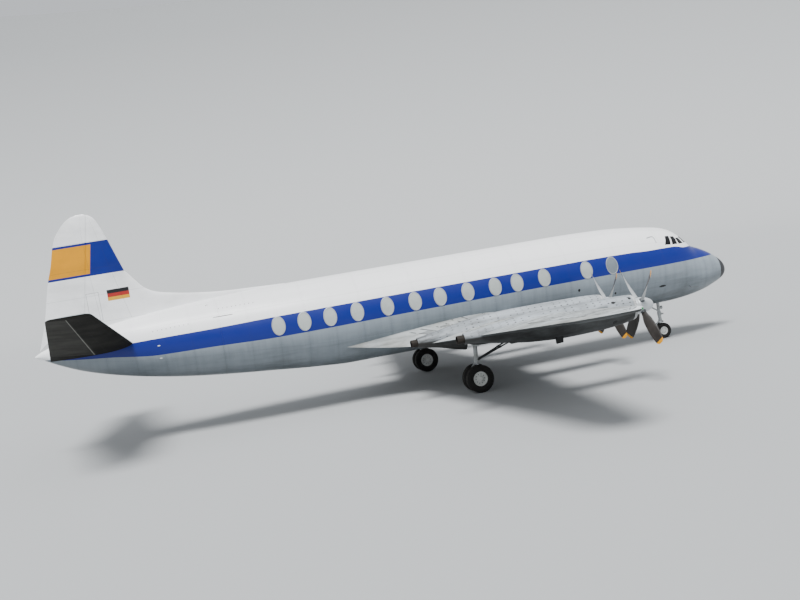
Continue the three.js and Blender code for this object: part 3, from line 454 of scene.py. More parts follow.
def nacelle_enamel():
    """Grey enamel on the engine cowlings, with oil and soot drawn back from the joints, and painted shade
    on the lower part, reaching higher towards the rear as a painted shadow of the wing.
    """
    material, tree, shader = new_material("nacelle_enamel")
    turn, back = mark(tree, "turn"), mark(tree, "back")
    # Painted shade: the lower cowling is painted dark grey with darker stains; towards the rear its edge
    # rises as a painted shadow of the wing
    below = over(tree, "#4a4d4e", clouds(tree, (0.8, 3, 2.2), 0.38, 0.68, 5.0, 0.62, 0.85), "#201f1e")
    start = shares(tree, back, 0.3, 2.6, 1.62, 1.38)
    colour = over(tree, "#a9b0b6", shares(tree, maths(tree, "SUBTRACT", turn, start), 0.0, 0.3), below)
    colour = over(tree, colour, mark(tree, "inside"), "#77796f")
    colour = over(tree, colour, short_of(tree, back, COWL_RINGS[0]), "#c9cccd")
    soot = both(tree, shares(tree, back, 4.6, 6.6), clouds(tree, (0.6, 4, 4), 0.3, 0.7))
    colour = over(tree, colour, soot, "#3b3a38")
    lines = both(tree, short_of(tree, back, 2.3), lines_at(tree, turn, (0.35, 1.5708, 2.6), 0.008))
    seams = either(tree, lines_at(tree, back, COWL_RINGS, 0.0035), lines)
    dots = both(tree, bands_at(tree, back, COWL_RINGS[:-1], 0.012, 0.03), near_line(tree, turn, 0.2, 0.014))
    # Latches and fasteners along the cowling, 56 mm long every 230 mm, each with its spot of grime
    rows = bands_at(tree, turn, (0.22, 0.5, 0.76, 1.0, 1.26), 0.07)
    worn = clouds(tree, (1.9, 5, 5), 0.45, 0.50, most=1.9)
    latches = both(tree, rows, near_line(tree, back, 0.23, 0.028), worn)
    weathered(tree, shader, colour, seams, either(tree, dots, latches), 0.55, 0.5, (0.5, 4, 4), 0.0, 0.3)
    return material


# Markings of the fin by height and by X: the blue band; the panel, whose ends lean forward by 0.187 of
# the height; the patch and its three stripes
BAND, PANEL, PANEL_ENDS = (6.02, 7.17), (6.10, 7.09), (-14.2, -11.92)
PATCH = (NOSE_X - 23.40, NOSE_X - 22.66)
STRIPES = ((5.32, 5.45, "#16171a"), (5.195, 5.32, "#a62a24"), (5.07, 5.195, "#d5a02c"))


def fin_enamel():
    """White enamel on fin and rudder, with a blue band, a plain yellow panel and a three-stripe patch."""
    material, tree, shader = new_material("fin_enamel")
    x, _, z = coordinates(tree)
    colour = over(tree, WHITE, between(tree, z, *BAND), BLUE)
    lean = add(tree, "Math", {"operation": "MULTIPLY_ADD"}, {0: z, 1: -0.187, 2: x})
    panel = both(tree, between(tree, z, *PANEL), between(tree, lean, *PANEL_ENDS))
    colour = over(tree, colour, panel, YELLOW)
    for low, high, shade in STRIPES:
        stripe = both(tree, between(tree, x, *PATCH), between(tree, z, low, high))
        colour = over(tree, colour, stripe, shade)
    ribs = near_line(tree, z, 0.93, 0.003, 4.4)
    spars = lines_at(tree, mark(tree, "share"), (0.16, 0.45), 0.0012)
    # A hatch drawn as the difference of two boxes, one 15 mm inside the other
    outer, inner = (both(tree, between(tree, z, 4.45 + edge, 5.43 - edge),
                         between(tree, x, -11.05 + edge, -10.62 - edge)) for edge in (0.0, 0.015))
    hatch = maths(tree, "SUBTRACT", outer, inner, True)
    dots = both(tree, near_line(tree, z, 0.11, 0.006), near_line(tree, x, 0.62, 0.006, 0.1), 0.45)
    weathered(tree, shader, colour, either(tree, ribs, spars, hatch), dots, 0.2, 0.3, (0.5, 3, 1.2), 0.3)
    return material


def tail_enamel(name, dark, chalky):
    """Tailplane and elevators: grey enamel above, dark olive rubbery paint below, painted darker still for
    the shade under the tailplane, chalked by weather, and a line worn pale along the hinge."""
    material, tree, shader = new_material(name)
    _, y, _ = coordinates(tree)
    share = mark(tree, "share")
    # Painted shade: the olive underside is painted darker than the paint for the shade under the tailplane
    below = over(tree, dark, clouds(tree, (1.2, 2.5, 2.5), 0.35, 0.75, 5.0, most=0.45), chalky)
    below = over(tree, below, both(tree, between(tree, mark(tree, "aft"), 0.002, 0.014), 0.6), "#a5a69f")
    colour = over(tree, "#b4bcc0", past(tree, mark(tree, "under"), 0.5), below)
    seams = either(tree, near_line(tree, y, 0.58, 0.0035, 0.3), lines_at(tree, share, (0.1, 0.33), 0.0015))
    dots = both(tree, near_line(tree, y, 0.116, 0.006), near_line(tree, share, 0.165, 0.003))
    weathered(tree, shader, colour, seams, dots, 0.35, 0.75, (0.6, 3, 3), 0.0, 0.15)
    return material


def plain_finish(name, colour, spot, rough, grain, metallic=0.0, coat=0.0, depth=0.0006, amount=0.35,
                 shine=0.5):
    """A finish of one colour that varies: blotches of a second colour, uneven gloss, a fine relief."""
    material, tree, shader = new_material(name)
    cloud = stretched_noise(tree, (grain, grain, grain), 5.0)
    bump = add(tree, "Bump", None, {"Height": cloud, "Strength": 0.4, "Distance": depth})
    surface(tree, shader, Base_Color=over(tree, colour, shares(tree, cloud, 0.42, 0.7, 0.0, amount), spot),
            Roughness=shares(tree, cloud, 0.3, 0.7, rough, rough + 0.15), Metallic=metallic, Normal=bump,
            Coat_Weight=coat, Specular_IOR_Level=shine)
    return material


def tyre_rubber():
    """Vulcanised carbon-black rubber: dull, grey with dust on the tread, slightly browned on the wall."""
    material, tree, shader = new_material("tyre_rubber")
    dust = clouds(tree, (26, 26, 26), 0.4, 0.75, 6.0, 0.65)
    colour = over(tree, "#1a1a1a", both(tree, dust, 0.4), "#3c3a36")
    colour = over(tree, colour, both(tree, dust, mark(tree, "tread"), 0.5), "#57544e")
    bump = add(tree, "Bump", None, {"Height": dust, "Strength": 0.4, "Distance": 0.0008})
    surface(tree, shader, Base_Color=colour, Roughness=0.82, Normal=bump, Specular_IOR_Level=0.3)
    return material


def blade_paint():
    """Propeller blades of forged aluminium: bare and dull in front, matt black anti-glare paint behind,
    yellow tips, and a leading edge scoured bright by grit."""
    material, tree, shader = new_material("blade_paint")
    share = mark(tree, "share")
    chips = clouds(tree, (90, 90, 90), 0.54, 0.68, 6.0, most=0.7)
    cloud = clouds(tree, (5, 5, 5), 0.35, 0.7, 4.0)
    half = both(tree, cloud, 0.5)
    front = past(tree, mark(tree, "front"), 0.5)
    boot = both(tree, front, short_of(tree, share, 0.13))
    black, bare = over(tree, "#2a2624", half, "#3d3834"), over(tree, "#b4b8ba", half, "#94989a")
    colour = over(tree, black, front, bare)
    colour = over(tree, colour, boot, "#33302e")
    colour = over(tree, colour, past(tree, mark(tree, "reach"), 0.93), YELLOW)
    colour = over(tree, colour, both(tree, chips, shares(tree, share, 0.16, 0.0)), "#b9bbbc")
    bump = add(tree, "Bump", None, {"Height": chips, "Strength": 0.3, "Distance": 0.0004})
    surface(tree, shader, Base_Color=colour, Normal=bump, Roughness=shares(tree, cloud, 0.0, 1.0, 0.4, 0.55))
    return material


def exhaust_steel():
    """Stainless pipe, browned by heat under a coat of dull soot, black inside."""
    material, tree, shader = new_material("exhaust_steel")
    colour = over(tree, "#302a25", clouds(tree, (3, 14, 14), 0.35, 0.7, 4.0), "#191613")
    colour = over(tree, colour, mark(tree, "soot"), "#0c0b0b")
    surface(tree, shader, Base_Color=colour, Metallic=0.2, Roughness=0.7, Specular_IOR_Level=0.3)
    return material


enamel = body_enamel()
wing_paint = wing_enamel()
cowl_paint = nacelle_enamel()
fin_paint = fin_enamel()
# The dark colours below are olive paint darkened as painted shade
tail_paint = tail_enamel("tail_enamel", "#161512", "#302f2a")
elevator_paint = tail_enamel("elevator_enamel", "#32312e", "#4c4b45")
blades_paint = blade_paint()
rubber = tyre_rubber()
pipe_steel = exhaust_steel()
# Glass-fibre radome in black neoprene: soft sheen, sand-worn towards the tip
neoprene = plain_finish("radome_neoprene", "#202025", "#3d3d42", 0.42, 9.0)
# Spinners of spun aluminium with a thin grey lacquer: brighter than the cowlings
spun_alloy = plain_finish("spun_aluminium", "#ccd1d4", "#aab0b3", 0.3, 7.0, 0.3, 0.2)
# Cockpit glass is laminated and painted near black for the shade of the cockpit behind it; cabin panes are
# backed by pale blinds
dark_glass = plain_finish("laminated_glass", "#07090c", "#0e1216", 0.08, 3.0, 0.0, 0.0, 0.0002, 0.5, 0.3)
blind_glass = plain_finish("acrylic_over_blind", "#b1b7b5", "#9da3a1", 0.2, 2.2, 0.0, 0.5, 0.0003, 0.6)
# Painted shade: the foremost starboard pane is a darker grey than the others
shaded_glass = plain_finish("acrylic_shaded", "#757e86", "#636b73", 0.18, 2.2, 0.0, 0.5, 0.0003, 0.6)
# Drawn window frames of clear-anodised aluminium
frame_alloy = plain_finish("anodised_aluminium", "#b8bcbd", "#8f9496", 0.35, 12.0, 0.7)
seal_rubber = plain_finish("black_seal_rubber", "#1d1e20", "#34342f", 0.7, 14.0)
# Landing gear legs in grey epoxy enamel, greasy in patches; sliding pistons are hard chrome
leg_paint = plain_finish("epoxy_enamel_grey", "#b0b4b5", "#7d7a72", 0.38, 6.0, 0.0, 0.2, 0.0008, 0.45)
strut_paint = plain_finish("epoxy_enamel_dark", "#3b3e40", "#262523", 0.45, 6.0, 0.0, 0.0, 0.0008, 0.45)
chrome = plain_finish("hard_chrome", "#c9ccd0", "#a8abb0", 0.1, 20.0, 1.0)
hub_alloy = plain_finish("cast_magnesium_paint", "#dadcd9", "#b4b4ae", 0.45, 5.0, 0.0, 0.0, 0.001, 0.3)
steel = plain_finish("forged_steel", "#6f7376", "#43423f", 0.42, 15.0, 0.8)
casting = plain_finish("engine_casting", "#5c5f60", "#3a3a38", 0.55, 16.0, 0.3)
hose = plain_finish("hydraulic_hose", "#1b1b1c", "#33312d", 0.6, 30.0)
red_lens = plain_finish("red_lens", "#a3171a", "#7d1114", 0.08, 12.0, 0.0, 1.0)
green_lens = plain_finish("green_lens", "#0f7a42", "#0b5f33", 0.08, 12.0, 0.0, 1.0)
clear_lens = plain_finish("clear_lens", "#d5dadd", "#b8bdc0", 0.06, 12.0, 0.0, 1.0)


# Fuselage

BODY = MM * np.array([
    # station, top, bottom, half width
    [0, 2275, 2265, 5], [45, 2460, 2095, 165], [160, 2630, 1970, 312], [400, 2835, 1840, 492],
    [700, 3045, 1725, 650], [1050, 3235, 1610, 800], [1500, 3445, 1515, 950], [1750, 3700, 1475, 1035],
    [2000, 3965, 1445, 1115], [2280, 4160, 1420, 1200], [2650, 4300, 1402, 1295], [3100, 4385, 1393, 1390],
    [3800, 4480, 1386, 1500], [4700, 4565, 1384, 1585], [5700, 4610, 1384, 1618], [7000, 4634, 1384, 1625],
    [15300, 4634, 1384, 1625], [16700, 4634, 1475, 1600], [18200, 4615, 1630, 1520],
    [19700, 4570, 1790, 1385], [21200, 4490, 1990, 1180], [22500, 4385, 2230, 945],
    [23600, 4250, 2495, 710], [24600, 4075, 2815, 470], [25400, 3880, 3180, 255],
    [25900, 3715, 3455, 105], [26110, 3605, 3545, 22]])
# The nose is blunt, so its sizes are read against the root of the station
BODY_CURVE = np.column_stack([np.sqrt(BODY[:, 0]), BODY[:, 1:]])
STRIPE = MM * np.array([
    # station, top edge, low edge of the blue stripe
    [0, 3420, 2920], [1100, 3420, 2910], [2030, 3420, 2915], [2600, 3525, 2920], [3960, 3558, 2935],
    [4500, 3590, 2942], [6500, 3620, 2950], [12000, 3620, 2930], [17800, 3600, 2890], [20300, 3560, 2955],
    [22000, 3548, 2980], [23600, 3515, 3165], [24700, 3480, 3275], [25400, 3450, 3365], [25720, 3425, 3425],
    [26110, 3425, 3425]])
NOSE_BAY = {"front": 2.78, "back": 4.25, "half": 0.27, "top": 2.0, "door_start": 3.62}
BAY_COLUMNS = 8
BODY_COLUMNS = 104


def ellipse(table, at):
    """Middle, half height and half width from a table of top, bottom and half width."""
    top, bottom, half = np.moveaxis(read(table, at), -1, 0)
    return (top + bottom) / 2, (top - bottom) / 2, half


def body_size(station):
    return ellipse(BODY_CURVE, np.sqrt(np.maximum(station, 0)))


def body_point(station, turn, out=0.0):
    """Point of the station's ellipse at an angle from its top, port positive, moved out along the
    ellipse's normal: y = half sin(turn), z = middle + high cos(turn)."""
    middle, high, half = body_size(station)
    away = np.stack([np.zeros_like(half * turn), np.sin(turn) / half, np.cos(turn) / high], -1)
    away /= np.linalg.norm(away, axis=-1)[..., None]
    skin = spot(station, half * np.sin(turn), middle + high * np.cos(turn))
    return skin + away * np.asarray(out)[..., None]


def body_turn(station, z, side):
    """Angle from the top at which the fuselage reaches a height, on one side."""
    middle, high, _ = body_size(station)
    return side * np.arccos(np.clip((z - middle) / high, -1, 1))


def body_marks(points, turn):
    station = NOSE_X - points[..., 0]
    edges = read(STRIPE, station)
    return {"turn": abs(turn), "under_top_edge": edges[..., 0] - points[..., 2],
            "over_low_edge": points[..., 2] - edges[..., 1]}


def bay_turns(half, bay_half, most, columns):
    """Angles from the top round an ellipse. They start at the keel beside the wheel bay, so that two
    columns run along the bay's sides, where sin(angle) = bay half width / ellipse half width."""
    keel = np.arcsin(np.minimum(bay_half / half, most))
    inner = keel * np.linspace(-1, 1, BAY_COLUMNS + 1)[None, :]
    outer = lerp(keel, 2 * pi - keel, np.linspace(0, 1, columns - BAY_COLUMNS + 1)[None, 1:-1])
    return pi - np.concatenate([inner, outer], axis=1)


def from_top(turn):
    return abs((turn + pi) % (2 * pi) - pi)


def bay_rows(stations, bay):
    return [int(np.argmin(abs(stations - bay[key]))) for key in ("front", "back")]


def body_shell(stations, pocket=None):
    stations = np.asarray(stations)[:, None]
    turn = bay_turns(body_size(stations)[2], NOSE_BAY["half"], 0.5, BODY_COLUMNS)
    points = body_point(stations, turn)
    return loft(points, body_marks(points, from_top(turn)), pocket=pocket)


def add_fuselage():
    stations = spread(0.4035, 19.8485, 170, (NOSE_BAY["front"], NOSE_BAY["back"]))
    skin = body_shell(stations, (*bay_rows(stations, NOSE_BAY), BAY_COLUMNS, NOSE_BAY["top"]))
    cone = body_shell(np.concatenate([np.linspace(19.8515, 25.9, 60), [25.98, 26.05, 26.085, 26.1095]]))
    cap = body_shell(0.4 * np.linspace(0.005, 1, 28) ** 2)
    piece("fuselage_skin", skin, enamel, replaces=["fuselage"])
    piece("tail_cone_skin", cone, enamel, replaces=["tail_cone"])
    piece("radome_shell", cap, neoprene, replaces=["radome"])


def badge(station, z, side, half_s, half_z, profile, power=2.0, sides=48):
    """Button on the fuselage skin: rings of a superellipse |s|^p + |z|^p = r^p laid onto the skin, each
    ring (share r, height above the skin) of the profile raised along the skin's normal."""
    round_way = np.cos(circle(sides)), np.sin(circle(sides))
    across, up = (np.sign(way) * abs(way) ** (2 / power) for way in round_way)
    reach, lift = (np.array(profile, float)[:, k:k + 1] for k in (0, 1))
    at_s, at_z = station + half_s * reach * across, z + half_z * reach * up
    turn = body_turn(at_s, at_z, side)
    points = body_point(at_s, turn, lift + 0 * at_s)
    return loft(points, body_marks(points, abs(turn)))


WINDOW_STATIONS = (5.41, 6.44, 8.11, 9.17, 10.01, 11.05, 12.09, 13.02, 14.04, 15.13, 16.10, 17.01, 17.91)
WINDOW = {"z": 3.268, "half_s": 0.24, "half_z": 0.33}
PANE = [(0.02, 0.0045), (0.5, 0.0045), (0.885, 0.004), (0.9, -0.01), (0.5, -0.012), (0.02, -0.012)]
RIM = [(0.88, -0.006), (0.885, 0.006), (0.91, 0.0105), (0.95, 0.0115), (0.985, 0.009), (1.0, 0.002),
       (1.0, -0.006)]


def ring_badge(station, z, side, half_s, half_z, profile, power=2.0, sides=56):
    """Closed ring on the skin: the same rings as a badge, joined end to end."""
    shell = badge(station, z, side, half_s, half_z, profile, power, sides)
    return loft(shell.points.reshape(len(profile), sides, 3), loop=True)


def add_windows():
    panes, shaded, rims = [], [], []
    for station in WINDOW_STATIONS:
        is_first = station == WINDOW_STATIONS[0]
        # The foremost window has none opposite, where the passenger door is
        for side in (-1,) if is_first else (1, -1):
            place = (station, WINDOW["z"], side, WINDOW["half_s"], WINDOW["half_z"])
            # The foremost pane takes the darker grey of painted shade
            (shaded if is_first else panes).append(badge(*place, PANE))
            rims.append(ring_badge(*place, RIM))
    piece("cabin_panes", panes, blind_glass)
    piece("cabin_pane_shaded", shaded, shaded_glass)
    piece("cabin_window_frames", rims, frame_alloy)


DOORS = {
    "passenger_door_front": {"station": 5.05, "half_s": 0.41, "half_z": 0.785, "z": 3.345},
    "passenger_door_rear": {"station": 19.15, "half_s": 0.39, "half_z": 0.76, "z": 3.32},
}
DOOR_PANEL = [(r, 0.004) for r in np.linspace(0.05, 0.97, 9)] + [
    (0.982, 0.0038), (0.988, 0.001), (0.988, -0.03), (0.5, -0.06), (0.05, -0.06)]
DOOR_SEAL = [(0.986, -0.01), (0.986, 0.0015), (1.004, 0.0015), (1.004, -0.01)]
GRIP = [(0.05, 0.012), (0.8, 0.012), (1.0, 0.008), (1.0, -0.02), (0.05, -0.02)]


def add_doors():
    for node, door in DOORS.items():
        place = (door["station"], door["z"], 1, door["half_s"], door["half_z"])
        panel = badge(*place, DOOR_PANEL, 7.0, 96)
        seal = ring_badge(*place, DOOR_SEAL, 7.0, 96)
        pane = (door["station"], WINDOW["z"] + 0.1, 1, 0.13, 0.18)
        glass = badge(*pane, [(r, h + 0.004) for r, h in PANE])
        rim = ring_badge(*pane, [(r * 1.02, h + 0.004) for r, h in RIM])
        grip = badge(door["station"] + 0.2, 3.05, 1, 0.075, 0.03, GRIP, 3.0, 32)
        piece(f"{node}_panel", panel, enamel, replaces=[node])
        piece(f"{node}_seal", seal, seal_rubber)
        piece(f"{node}_pane", glass, blind_glass)
        piece(f"{node}_frame", rim, frame_alloy)
        piece(f"{node}_handle", grip, steel)


# Cockpit panes: plan angles of their ends at foot and head, in degrees round an upright axis behind the
# windscreen, and heights of foot and head, at the end nearer the middle and at the other one
EYE_STATION = 3.2
COCKPIT_PANES = [
    {"foot": (3.0, 31.0), "head": (3.2, 30.0), "low": (3.585, 3.60), "high": (3.86, 3.82)},
    {"foot": (36.5, 46.5), "head": (35.5, 43.0), "low": (3.59, 3.605), "high": (3.80, 3.82)},
    {"foot": (51.0, 61.5), "head": (43.5, 52.0), "low": (3.61, 3.625), "high": (3.89, 3.91)},
    {"foot": (66.5, 78.0), "head": (55.0, 64.0), "low": (3.63, 3.66), "high": (3.94, 3.955)},
]


def met_skin(angle, z):
    """Station where a level line from the upright axis meets the skin: the root r of
    (y / half)^2 + ((z - middle) / high)^2 = 1 with y = r sin(angle), halved in upon 30 times."""
    near, far = np.zeros(np.broadcast(angle, z).shape), np.full(np.broadcast(angle, z).shape, 2.4)
    for _ in range(30):
        r = (near + far) / 2
        middle, high, half = body_size(EYE_STATION - r * np.cos(angle))
        inside = (r * np.sin(angle) / half) ** 2 + ((z - middle) / high) ** 2 < 1
        near, far = np.where(inside, r, near), np.where(inside, far, r)
    return EYE_STATION - near * np.cos(angle)


def cockpit_pane(side, pane, grow, out, deep):
    """Pane let into the nose: a grid between its four corners, grown by a width, raised along the
    skin's normal at the front face, sunk at the back, and rolled over at its edge."""
    u, v = np.meshgrid(np.linspace(0, 1, 22), np.linspace(0, 1, 14))
    wide = np.degrees(grow)
    foot = lerp(pane["foot"][0] - wide, pane["foot"][1] + wide, u)
    head = lerp(pane["head"][0] - wide, pane["head"][1] + wide, u)
    angle = np.radians(lerp(foot, head, v))
    z = lerp(lerp(*pane["low"], u) - grow, lerp(*pane["high"], u) + grow, v)
    station = met_skin(angle, z)
    turn = body_turn(station, z, side)
    edge = np.zeros(u.shape)
    edge[[0, -1], :] = edge[:, [0, -1]] = 1
    return sheet(body_point(station, turn, out - edge * 0.004), body_point(station, turn, -deep + 0 * edge))


def sheet(front, back):
    """Closed plate between two grids of equal size: both faces, and a wall round their edge."""
    n, m, _ = front.shape
    cell = np.arange(n * m).reshape(n, m)
    quads = np.stack([cell[:-1, :-1], cell[:-1, 1:], cell[1:, 1:], cell[1:, :-1]], -1).reshape(-1, 4)
    edge = np.concatenate([cell[0, :-1], cell[:-1, -1], cell[-1, :0:-1], cell[:0:-1, 0]])
    follow = np.roll(edge, -1)
    walls = np.stack([follow, edge, edge + n * m, follow + n * m], -1)
    faces = quads.tolist() + (quads[:, ::-1] + n * m).tolist() + walls.tolist()
    points = np.concatenate([front.reshape(-1, 3), back.reshape(-1, 3)])
    return Shell(points, outward(points, faces), {})


def add_cockpit():
    places = [(side, pane) for side in (1, -1) for pane in COCKPIT_PANES]
    panes = [cockpit_pane(*place, 0.0, 0.006, 0.014) for place in places]
    seals = [cockpit_pane(*place, 0.011, 0.0035, 0.012) for place in places]
    piece("cockpit_panes", panes, dark_glass, replaces=["cockpit_glazing"])
    piece("cockpit_seals", seals, seal_rubber)


# Lifting surfaces: each one gives a point for a place along its span, a share of the chord and a height
# in units of its thickness, and the share of its chord at which its hinge line lies
Foil = namedtuple("Foil", "point station chord thick hinge")


def camber_free(t):
    """Half thickness of a four-digit aerofoil with a closed trailing edge, for a thickness of one."""
    return 5 * (0.2969 * np.sqrt(t) - 0.126 * t - 0.3516 * t ** 2 + 0.2843 * t ** 3 - 0.1036 * t ** 4)


def square_to(dihedral, height):
    """Sideways and upward parts of an upright height, for a section that stands square to the dihedral:
    -height sin d cos d and height cos^2 d."""
    return -height * np.sin(dihedral) * np.cos(dihedral), height * np.cos(dihedral) ** 2


WING = {"lead": (9.1, 10.2), "trail": (13.76, 11.8), "z": 1.68, "dihedral": radians(5.5),
        "thick": (0.15, 0.12), "twist": (radians(2.8), radians(0.5)), "round": 1.1,
        "fillet": (1.3, 0.85), "fillet_aft": 2.3,
        "fillet_rise": 0.33, "fillet_hump": 0.38, "hinge": 0.76}


def rounded_end(y, span, width, least):
    """Share of the chord left at a distance y from the middle: an ellipse over the last of the span."""
    outer = np.clip((y - (span - width)) / width, 0, 1)
    return np.sqrt(np.maximum(1 - outer ** 2, least))


def wing_edges(y):
    """Leading, filleted trailing and plain trailing station, and the fillet's share, at a distance y
    from the middle; the fillet grows with the square of nearness."""
    span = np.clip(y / HALF_SPAN, 0, 1)
    lead, plain = lerp(*WING["lead"], span), lerp(*WING["trail"], span)
    shrink = rounded_end(y, HALF_SPAN, WING["round"], 0.0004)
    axis = lerp(lead, plain, 0.48)
    lead, plain = lerp(axis, lead, shrink), lerp(axis, plain, shrink)
    fillet = np.clip(1 - (y - WING["fillet"][0]) / WING["fillet"][1], 0, 1) ** 2
    return lead, plain + WING["fillet_aft"] * fillet, plain, fillet


def made_foil(edges, thick, place, hinge):
    """Foil from functions of the place along its span: edges, which starts with the leading and
    trailing station, thickness, hinge line, and place, the distance to port and height of a point."""
    def chord(y):
        return edges(y)[1] - edges(y)[0]

    def station(y, t):
        return edges(y)[0] + chord(y) * t

    return Foil(lambda y, t, h: spot(station(y, t), *place(y, t, h)), station, chord, thick, hinge)


def wing_foil(side):
    def thick(y):
        lead, _, plain, _ = wing_edges(y)
        return lerp(*WING["thick"], np.clip(y / HALF_SPAN, 0, 1)) * (plain - lead)

    def place(y, t, h):
        lead, trail, plain, fillet = wing_edges(y)
        twist = np.tan(lerp(*WING["twist"], np.clip(y / HALF_SPAN, 0, 1))) * (1 - fillet)
        out, up = square_to(WING["dihedral"] * np.clip(y - 4.2, 0, 1), h * thick(y))
        drop = (lerp(lead, trail, t) - lerp(lead, plain, 0.35)) * twist
        swell = fillet * (WING["fillet_rise"] * t + WING["fillet_hump"] * np.maximum(h, 0) / 0.5)
        return side * (y + out), WING["z"] + y * tan(WING["dihedral"]) - drop + up + swell

    return made_foil(wing_edges, thick, place, lambda y: WING["hinge"] + 0 * y)


TAIL = {"span": 6.095, "lead": (22.70, 23.61), "trail": (25.65, 24.86), "hinge": (24.08, 24.31), "y": 0.5,
        "z": 3.45, "dihedral": radians(15), "thick": (0.32, 0.115), "round": 0.26}


def tail_foil(side):
    def edges(y):
        span = np.clip(y / TAIL["span"], 0, 1)
        lead, trail = lerp(*TAIL["lead"], span), lerp(*TAIL["trail"], span)
        shrink = rounded_end(y, TAIL["span"], TAIL["round"], 0.0025)
        middle, kept = (lead + trail) / 2, 0.72 + 0.28 * shrink
        return lerp(middle, lead, kept), lerp(middle, trail, kept), shrink

    def thick(y):
        return lerp(*TAIL["thick"], np.clip(y / TAIL["span"], 0, 1)) * edges(y)[2]

    def place(y, t, h):
        out, up = square_to(TAIL["dihedral"], h * thick(y))
        return side * (y + out), TAIL["z"] + (y - TAIL["y"]) * tan(TAIL["dihedral"]) + up

    def hinge(y):
        lead, trail, _ = edges(y)
        return (lerp(*TAIL["hinge"], np.clip(y / TAIL["span"], 0, 1)) - lead) / (trail - lead)

    return made_foil(edges, thick, place, hinge)


FIN = MM * np.array([
    # height, leading station, trailing station, thickness
    [3500, 21870, 26010, 330], [4790, 22300, 25570, 300], [5980, 22690, 25270, 262],
    [6470, 22850, 25100, 240], [7430, 23160, 24810, 180], [7750, 23290, 24590, 150],
    [7980, 23420, 24360, 115], [8100, 23585, 24150, 80], [8150, 23720, 23960, 30]])
FIN_TOP, RUDDER_TOP = 8.11, 8.1495
RUDDER_LINE = ((24.43, 3.99), (23.70, 7.90))


def fin_foil():
    def edges(z):
        return np.moveaxis(read(FIN, z), -1, 0)

    def hinge(z):
        (s0, z0), (s1, z1) = RUDDER_LINE
        lead, trail, _ = edges(z)
        return (lerp(s0, s1, (z - z0) / (z1 - z0)) - lead) / (trail - lead)

    return made_foil(edges, lambda z: edges(z)[2], lambda z, t, h: (h * edges(z)[2], z), hinge)


FRONT = 0.5 * (1 - np.cos(np.linspace(0, pi, 33)))
NOSE_ARC = np.linspace(pi / 2, 0, 9)


def settled(foil, limit, t):
    """Place along the span where a chord share meets a limit given by station: found by repeating
    place = limit(station(place)) until it stands still."""
    place = limit(foil.station(limit(0.0 * t), t))
    for _ in range(8):
        place = limit(foil.station(place, t))
    return place


def rows_between(foil, inner, outer, weights, t):
    """Rows of places along the span from an inner to an outer limit, each a number or a function of
    the station."""
    first, last = (settled(foil, limit, t) if callable(limit) else np.full_like(t, limit)
                   for limit in (inner, outer))
    return lerp(first[None, :], last[None, :], np.asarray(weights)[:, None])


def shared_out(places):
    """First and last of some places, and the share of the way at which each one lies."""
    return places[0], places[-1], (places - places[0]) / (places[-1] - places[0])


def slowing(start, stop, count):
    """Places that stand closer and closer towards the stop, by a quarter of a sine."""
    return start + (stop - start) * np.sin(np.linspace(0, pi / 2, count))


def foil_body(foil, inner, outer, weights, t_from=0.0, t_to=1.0):
    """Closed slice of a lifting surface between two shares of the chord: height h = +-camber_free(t)."""
    t = lerp(t_from, t_to, FRONT)
    lower = t[1:] if t_from == 0 else t
    t_ring = np.concatenate([t[::-1], lower])
    sign = np.concatenate([np.ones(len(t)), -np.ones(len(lower))])
    if t_to == 1:
        t_ring, sign = t_ring[:-1], sign[:-1]
    spans = rows_between(foil, inner, outer, weights, t_ring)
    rings = foil.point(spans, t_ring + 0 * spans, sign * camber_free(t_ring) + 0 * spans)
    last = int((sign > 0).sum()) - 1
    return loft(rings, {"share": t_ring, "under": (sign < 0) * 1.0}, nose=(last, last + (t_from > 0)))


def coved_body(foil, inner, outer, weights, gap):
    """Fixed part ahead of a hinged surface: aerofoil to its lips, then a hollow of the nose's radius
    plus the gap about the hinge line: t = hinge - R cos(a) / chord, h = R sin(a) / thickness."""
    spans = np.asarray([lerp(inner, outer, w) for w in weights])[:, None]
    hinge, chord, thick = foil.hinge(spans), foil.chord(spans), foil.thick(spans)
    deep = camber_free(hinge) * thick
    radius = 0.97 * deep + gap
    lip = np.arcsin(np.minimum(0.985 * deep / radius, 0.999))
    ahead = np.maximum(gap, radius * np.cos(lip)) / chord
    t_up = (hinge - ahead) * FRONT[None, :]
    arc = lip * np.linspace(1, -1, 13)[None, 1:-1]
    t_arc = hinge - radius * np.cos(arc) / chord
    t_ring = np.concatenate([t_up[:, ::-1], t_up[:, 1:], t_arc[:, ::-1]], axis=1)
    skin = camber_free(t_up)
    h_ring = np.concatenate([skin[:, ::-1], -skin[:, 1:], (radius * np.sin(arc) / thick)[:, ::-1]], axis=1)
    under = (h_ring < 0) * 1.0
    return loft(foil.point(spans + 0 * t_ring, t_ring, h_ring), {"share": t_ring, "under": under})


